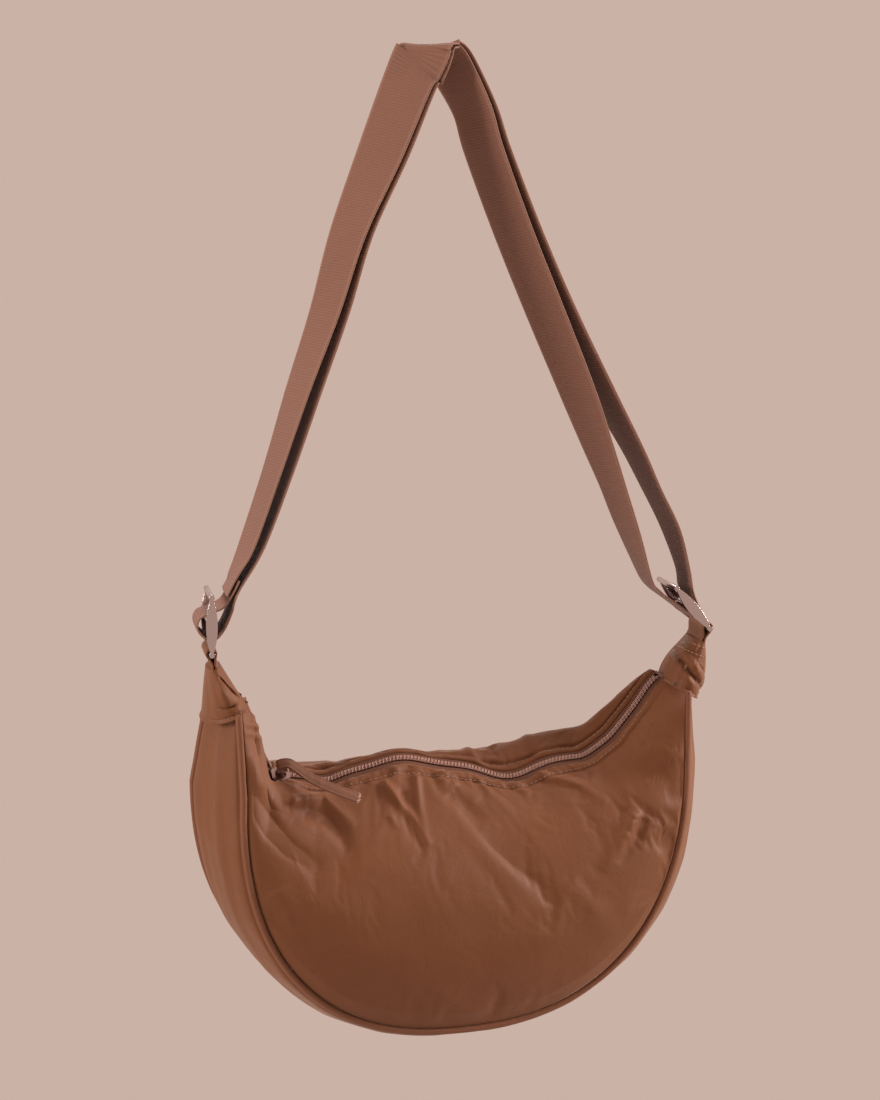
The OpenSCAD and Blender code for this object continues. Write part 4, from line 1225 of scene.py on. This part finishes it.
pull_path = smooth_line(pull_line, PULL_STEPS)
pull_strip = band_piece("pull_strip", pull_path, PULL_W, PULL_T, around=36, edge=0.55,
                        relief=pull_relief)
pull_cloth = cloth_finish("pull_cloth", (0.205, 0.078, 0.042), 0.2, 150.0, 0.0008, 0.6, 0.06)
pull_thread = plain_finish("pull_thread", (0.56, 0.36, 0.24), 0.12, 0.5, grain=0.0001)
settle(pull_strip, pull_cloth, "shell_cloth", "pull", "pull_tab")
places, across, up = band_frames(pull_path)
free_part = slice(3 * PULL_STEPS + 8, None)
for name, share in (("pull_stitches_left", -STITCH_SHARE),
                    ("pull_stitches_right", STITCH_SHARE)):
    line = places + (share * PULL_W / 2) * across + (0.40 * PULL_T) * up
    sew(name, line[free_part], up[free_part], "pull", pitch=2.6, size=0.95, lift=0.42,
        finish=pull_thread)
fray = []
along = unit(pull_path[-1, :3] - pull_path[-3, :3])
for k, share in enumerate(np.linspace(-0.92, 0.92, FRAY_COUNT)):
    leaning = unit(along + 0.5 * math.sin(7.1 * k) * across[-1]
                   + 0.35 * math.sin(3.7 * k) * up[-1])
    at = (places[-1] + share * PULL_W / 2 * across[-1]
          + 0.3 * PULL_T * math.sin(5.3 * k) * up[-1])
    fray.append((at + 0.6 * leaning, leaning, up[-1], 0.8 + 0.3 * math.sin(2.9 * k)))
lay_threads("pull_frayed_threads", fray, "pull", pull_thread)
for node_name in ("zip_slider", "pull_ring"):
    settle(frame["nodes"][node_name], zip_metal, "zip_metal", None)

# %% [markdown]
# The strap: 38 mm webbing, sewn to one long loop that hangs doubled over the hook and passes
# through both strap sliders. It is modelled directly as one band along a given line. Its
# finish follows the UV map, so the cross ribs stay square to the webbing as it turns.

# %% The webbing's line
WEB_W, WEB_T, LAYER_GAP = 38.0, 1.6, 0.4
SLIDER_PLACE = {-1: (-160.0, 0, 98.0), 1: (155.0, 0, 96.0)}
SLIDER_TILT, SLIDER_TURN, SLIDER_H, BAR_D = {-1: 0.0, 1: 40.0}, -10.0, 38.0, 3.4
STRAP_DROP, HANG_X, STRAP_STEPS = 442.0, -20.0, 10
LEFT_LEG = ((0.094, 0.06, 0.08, 38, 38), (0.216, 0.184, 0.1, 32, 32), (0.36, 0.325, 0.12, 19, 19),
            (0.46, 0.463, 0.16, 12, 12), (0.576, 0.6, 0.2, 6, 6), (0.69, 0.7385, 0.2, 1, 1),
            (0.81, 0.87, 0.17, -2, -2))
RIGHT_LEG = ((0.16, 0.107, 0.1, 20, 20), (0.21, 0.179, 0.13, 20, 20), (0.327, 0.318, 0.18, 20, 18),
             (0.458, 0.457, 0.26, 20, 14), (0.603, 0.6, 0.42, 17, 8), (0.712, 0.707, 0.6, 10, 1),
             (0.782, 0.781, 0.68, 4, -3), (0.85, 0.855, 0.78, 0, -4))
INNER_FOLD = ((-0.17, -0.09, 0.2), (-0.1, -0.06, 0.05), (0, 0, 0), (0.12, 0.07, 0.05),
              (0.34, 0.08, 0.27))
OUTER_FOLD = ((-0.22, -0.1, 0.2), (-0.13, -0.07, 0.04), (0, 0, 0), (0.15, 0.08, 0.05),
              (0.4, 0.09, 0.27))
FOLD_TURNS = (43, 45, 45, 43, 28)
LEFT_WRAP = ((-0.44, 0.7), (-0.33, 0.48), (-0.2, 0.29), (0, 0.2), (0.17, 0.12), (0.22, 0),
             (0.18, -0.12), (0.06, -0.22), (-0.08, -0.21), (-0.22, -0.04), (-0.33, 0.22),
             (-0.42, 0.5))
RIGHT_WRAP = ((-0.22, 0.85), (-0.24, 0.55), (-0.17, 0.25), (-0.11, 0), (-0.08, -0.15), (0, -0.24),
              (0.09, -0.15), (0.12, 0), (0.2, 0.22), (0.36, 0.5))
LAP = ((-0.37, 0.7), (-0.25, 0.47))
inner_z = STRAP_DROP + WEB_T / 2
outer_z = inner_z + WEB_T + LAYER_GAP


def in_slider(end, n, u):
    """A point of a strap slider's own frame: n outwards through it, u up along it."""
    a, turn = math.radians(SLIDER_TILT[end]), math.radians(SLIDER_TURN)
    d = np.array([end * (n * math.cos(a) - u * math.sin(a)), 0,
                  n * math.sin(a) + u * math.cos(a)])
    turned = [d[0] * math.cos(turn) - d[1] * math.sin(turn),
              d[0] * math.sin(turn) + d[1] * math.cos(turn), d[2]]
    return np.array(SLIDER_PLACE[end]) + turned


def leg_points(end, layer, shares):
    c = SLIDER_PLACE[end]
    return [[lerp(HANG_X, c[0], s[0]) + layer * end * s[2] * WEB_W / 2, 0,
             lerp(outer_z, c[2], s[1]), s[3] if layer < 0 else s[4]] for s in shares]


def fold_points(shares, z):
    return [[HANG_X + s[0] * WEB_W, s[1] * WEB_W, z - s[2] * WEB_W, turn]
            for s, turn in zip(shares, FOLD_TURNS)]


def wrap_points(end, shares):
    return [[*in_slider(end, a * SLIDER_H, b * SLIDER_H), SLIDER_TURN] for a, b in shares]


strap_line = (wrap_points(-1, LEFT_WRAP) + leg_points(-1, -1, LEFT_LEG)[::-1]
              + fold_points(INNER_FOLD, inner_z) + leg_points(1, -1, RIGHT_LEG)
              + wrap_points(1, RIGHT_WRAP) + leg_points(1, 1, RIGHT_LEG)[::-1]
              + fold_points(OUTER_FOLD, outer_z)[::-1] + leg_points(-1, 1, LEFT_LEG)
              + wrap_points(-1, LAP))
strap_path = smooth_line(strap_line, STRAP_STEPS)
print("webbing", round(run_along(strap_path[:, :3])[-1]), "mm long,", len(strap_path), "places")

# %% [markdown]
# Webbing is woven with thick cross ribs, 1.7 millimetres apart, under fine lengthwise threads,
# and its two edges are woven tighter and look lighter.

# %% Webbing material and strap
RIB_PITCH, WARP_PITCH, RIB_HEIGHT = 0.0017, 0.0011, 0.00006
WEBBING_BROWN = (0.230, 0.090, 0.053)
SELVAGE_BROWN = (0.290, 0.126, 0.080)

ribs, given, out = new_group("webbing_ribs",
    [("Vector", VECTOR, None), ("Rib pitch", FLOAT, RIB_PITCH),
     ("Thread pitch", FLOAT, WARP_PITCH), ("Half width", FLOAT, WEB_W / 2000)],
    [("Height", FLOAT), ("Selvage", FLOAT)])
split = add_node(ribs, "ShaderNodeSeparateXYZ", {0: given.outputs["Vector"]})
turns = math_node(ribs, "DIVIDE", split.outputs["X"], given.outputs["Thread pitch"])
warp_wave = math_node(ribs, "SINE", math_node(ribs, "MULTIPLY", turns, math.tau))
turns = math_node(ribs, "DIVIDE", split.outputs["Y"], given.outputs["Rib pitch"])
wobble = math_node(ribs, "MULTIPLY", warp_wave, 0.12)
rib_wave = math_node(ribs, "SINE", math_node(
    ribs, "MULTIPLY", math_node(ribs, "ADD", turns, wobble), math.tau))
total = math_node(ribs, "ADD", rib_wave, math_node(ribs, "MULTIPLY", warp_wave, 0.35))
ribs.links.new(total, out.inputs["Height"])
from_middle = math_node(ribs, "DIVIDE", math_node(ribs, "ABSOLUTE", split.outputs["X"]),
                        given.outputs["Half width"])
edge_ramp = add_node(ribs, "ShaderNodeMapRange", {0: from_middle, 1: 0.86, 2: 0.94})
ribs.links.new(edge_ramp.outputs[0], out.inputs["Selvage"])

webbing_finish, tree, skin = surface("webbing", Sheen_Weight=0.12, Sheen_Roughness=0.4,
                                     Specular_IOR_Level=0.25, Roughness=0.68)
coords = add_node(tree, "ShaderNodeTexCoord")
rib = place_group(tree, ribs, {"Vector": coords.outputs["UV"]})
tone = place_group(tree, tones, {"Vector": coords.outputs["Object"],
                                 "Colour": (*WEBBING_BROWN, 1), "Drift": 0.16, "Fleck": 0.3})
# Painted shade: the webbing's colour is made lighter on the crests of the ribs and darker in the
# hollows between them.
rib_painted_shade = math_node(tree, "MULTIPLY_ADD", rib.outputs["Height"], 0.10, 1.0)
painted_rib_colour = add_node(tree, "ShaderNodeHueSaturation", {"Color": tone.outputs["Colour"],
                                                    "Value": rib_painted_shade})
mixer = add_node(tree, "ShaderNodeMix", {0: rib.outputs["Selvage"], 6: painted_rib_colour.outputs[0],
                                         7: (*SELVAGE_BROWN, 1)}, data_type="RGBA")
cover(tree, skin, math_node(tree, "MULTIPLY", rib.outputs["Height"], RIB_HEIGHT),
      Base_Color=mixer.outputs[2])


def strap_relief(a, b, run):
    return 1 + 0.12 * bump(np.abs(a), 0.93, 0.05)


strap = band_piece("strap_band", strap_path, WEB_W, WEB_T, around=40, edge=0.55,
                   relief=strap_relief)
settle(strap, webbing_finish, "webbing", "strap", "strap_webbing")

# %% [markdown]
# Each strap slider is a cast frame with two round bars, a flat middle bar and bowed rails.
# The CAD solid has the right shape but dead sharp edges, so a copy of its mesh is merged and
# bevelled; the narrow rounded edges are what catches the light on real plated metal.

# %% Strap sliders
BEVEL_W, BEVEL_STEPS, SHARP = 0.5, 3, math.radians(40)


def bevelled_copy(node_name):
    original = frame["nodes"][node_name]
    copy = original.copy()
    copy.data = original.data.copy()
    copy.name = copy.data.name = node_name + "_frame"
    copy.parent = None
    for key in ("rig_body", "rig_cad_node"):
        del copy[key]
    bpy.context.scene.collection.objects.link(copy)
    edit_all(copy, lambda: bpy.ops.mesh.remove_doubles(threshold=MERGE_DISTANCE),
             lambda: bpy.ops.mesh.dissolve_limited(angle_limit=math.radians(2)))
    apply_modifier(copy, "BEVEL", width=BEVEL_W / 1000, segments=BEVEL_STEPS,
                   limit_method="ANGLE", angle_limit=SHARP)
    active_only(copy)
    bpy.ops.object.shade_smooth_by_angle(angle=SHARP)
    return copy


for node_name in ("left_slider", "right_slider"):
    settle(bevelled_copy(node_name), bright_metal, "bright_metal", "strap", node_name)

# %% [markdown]
# At each end of the bag a sleeve of shell cloth is gathered up from a seam to a narrow tab,
# and the tab is wrapped round the lower bar of the strap slider and stitched to itself. Both
# cross the joint about which the bag swings, but they are not attached to either body.

# %% End caps
CAP_TOP_HALF = (4.5, 18.0)
CAP_SHORT, CAP_FOOT = 9.5, {-1: 1.4, 1: 2.8}
BAR_U = SLIDER_H / 2 - BAR_D / 2
CAP_SIDES, CAP_ROWS = 160, 90
SLEEVE_PUFF, SLEEVE_PITCH = {-1: 0.6, 1: 4.2}, 2.9
SLEEVE_ROWS = {-1: ((0.045, 190, 355),),
               1: ((0.74, 190, 345), (0.90, 190, 345), (0.05, 185, 350))}


def bar_place(end):
    return in_slider(end, 0, -BAR_U)


def cap_ends(end):
    low = np.array([end * CAP_X, 0, CAP_Z]) - CAP_FOOT[end] * cap_axis(end)
    bar = bar_place(end)
    along = unit(bar - low)
    return low, bar - CAP_SHORT * along, along


def cap_place(end, folds):
    low, top, _ = cap_ends(end)
    bar = bar_place(end)
    top_turn = math.atan2(end * bar[0] - CAP_X, bar[2] - CAP_Z)

    def place(u, v):
        ease = v**0.8
        turn = lerp(CAP_TILT, top_turn, ease)
        yaw = lerp(CAP_YAW, math.radians(-end * SLIDER_TURN), ease)
        half_x = lerp(CAP_HALF_X, CAP_TOP_HALF[0], ease)
        half_y = lerp(CAP_HALF_Y, CAP_TOP_HALF[1], ease)
        a = 2 * np.pi * u
        grow = 1 + folds(a, v)
        puff = SLEEVE_PUFF[end] * np.sin(np.pi * ease)
        half_x, half_y = half_x + puff, half_y + 0.3 * puff
        out = points(np.cos(yaw) * np.cos(turn), -np.sin(yaw) * np.cos(turn), -np.sin(turn))
        back = points(np.sin(yaw), np.cos(yaw), 0)
        d = ((half_x * np.cos(a) * grow)[:, None] * out
             + (half_y * np.sin(a) * grow)[:, None] * back)
        return lerp(low, top, v[:, None]) + d * [end, 1, 1]
    return place


def around(a, degrees, width):
    """A hump round the sleeve, centred on an angle."""
    return np.exp(-((np.angle(np.exp(1j * (a - math.radians(degrees)))) / width) ** 2))


def sleeve_noise(a, v, seed):
    ring = points(2.2 * np.cos(a), 2.2 * np.sin(a), 0.8 * v + 0.25 * np.sin(2 * a))
    body = np.sin(np.pi * np.clip(v, 0, 1)) ** 0.5
    return body * (smooth_noise(ring, 1.0, seed) + 0.35 * smooth_noise(ring * 2.6, 1.0, seed + 4))


def left_folds(a, v):
    """A side seam climbing from the foot, a lens-shaped pouch beside it, a sewn foot."""
    seam_at = 206 + 66 * v
    seam = around(a - np.radians(seam_at - 200), 200, 0.10) * np.clip((0.86 - v) / 0.1, 0, 1)
    seam = seam * lerp(0.15, 0.8, np.clip((v - 0.10) / 0.25, 0, 1))
    pouch = around(a, 282, 0.50) * bump(v, 0.50, 0.24)
    under = around(a, 280, 0.50) * bump(v - 0.05 * np.cos(a * 2), 0.27, 0.03)
    knot = around(a, 196, 0.30) * bump(v, 0.07, 0.08)
    foot = 0.045 * bump(v, 0.0, 0.03) - 0.03 * bump(v, 0.055, 0.018)
    return (0.05 * sleeve_noise(a, v, 21) - 0.17 * seam + 0.15 * pouch - 0.13 * under
            + 0.13 * knot + foot)


def right_folds(a, v):
    """A puffed knob with one deep fold running down across it, and a smaller one below."""
    share = np.clip((a - math.radians(185)) / math.radians(175), 0, 1)
    crease_v = 0.66 - 0.60 * share
    seen = np.clip((np.sin(a - np.pi) + 0.35) / 0.5, 0, 1)
    crease = bump(v, crease_v, 0.045) * seen
    level = np.clip((0.72 - share) / 0.3, 0, 1)
    above = bump(v, crease_v + 0.15, 0.12) * seen * lerp(0.35, 1, level)
    below = bump(v, crease_v - 0.14, 0.09) * seen * level
    small = around(a, 300, 0.5) * bump(v, 0.62 - 0.2 * np.cos(a), 0.03)
    foot = 0.06 * bump(v, 0.0, 0.035) - 0.02 * bump(v, 0.05, 0.018)
    return (0.06 * sleeve_noise(a, v, 31) - 0.18 * crease * lerp(0.4, 1, level) + 0.13 * above
            + 0.08 * below - 0.05 * small + foot)


BEND_HIGH, BEND_LOW = 72.0, 52.0


def across_swing(piece, end):
    """Bakes the piece's placement into its mesh; the bend's heights are computed but not used."""
    x = SLIDER_PLACE[end][0]
    tuple(in_frame([x, 0, BEND_HIGH]))
    tuple(in_frame([x, 0, BEND_LOW]))
    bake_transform(piece)


def sleeve_seam(place, end, v, start, stop):
    """A line round a sleeve between two angles, with normals that point out of it."""
    u = np.linspace(start, stop, 90) / 360
    here, normal = place(u, v + 0 * u), cloth_normal(place, u, v + 0 * u)
    low, top, _ = cap_ends(end)
    normal *= np.sign((normal * (here - lerp(low, top, v))).sum(1, keepdims=True))
    return here, unit(normal)


for name, node_name, end, folds in (("left_end_sleeve", "left_end_cap", -1, left_folds),
                                    ("right_end_sleeve", "right_end_cap", 1, right_folds)):
    place = cap_place(end, folds)
    sleeve = roll_up(grid_piece(name, CAP_SIDES, CAP_ROWS, place))
    settle(sleeve, shell_cloth, "shell_cloth", None, node_name)
    across_swing(sleeve, end)
    for row, (v, start, stop) in enumerate(SLEEVE_ROWS[end]):
        size, lift, finish = (1.0, 0.25, tab_thread) if v > 0.5 else (0.7, 0.05, thread_finish)
        thread = sew(f"{name.split('_')[0]}_sleeve_stitches_{row}",
                     *sleeve_seam(place, end, v, start, stop), None,
                     pitch=SLEEVE_PITCH, size=size, lift=lift, finish=finish)
        across_swing(thread, end)

# %% [markdown]
# A tab is a short doubled strip. It comes out of the sleeve, turns round the lower bar of the
# strap slider and goes back in; like the sleeve, it crosses the joint but is attached to no body.

# %% Tabs round the lower bars
TAB_W, TAB_T, TAB_GAP, TAB_ARC, TAB_IN, TAB_STEPS = 36.0, 1.6, 1.0, 6, 3.0, 8


def tab_line(end):
    bar = bar_place(end)
    _, foot, up = cap_ends(end)
    turn = math.radians(SLIDER_TURN)
    side = np.cross([-math.sin(turn), math.cos(turn), 0], up)
    r = BAR_D / 2 + LAYER_GAP + TAB_T / 2
    base = foot + TAB_GAP * up
    near = TAB_T / 2 + LAYER_GAP / 2
    inner = lerp(base, bar, 0.3)
    line = [base - TAB_IN * up - near * side, base - near * side, inner - near * side]
    for k in range(TAB_ARC + 1):
        a = math.radians(200 - 220 * k / TAB_ARC)
        line.append(bar + r * (math.cos(a) * side + math.sin(a) * up))
    line += [inner + near * side, base + near * side, base - TAB_IN * up + near * side]
    return [[*p, SLIDER_TURN] for p in line]


for name, node_name, end in (("left_tab_strip", "left_tab", -1),
                             ("right_tab_strip", "right_tab", 1)):
    path = smooth_line(tab_line(end), TAB_STEPS)
    strip = band_piece(name, path, TAB_W, TAB_T, around=36, edge=0.6)
    settle(strip, shell_cloth, "shell_cloth", None, node_name)
    across_swing(strip, end)
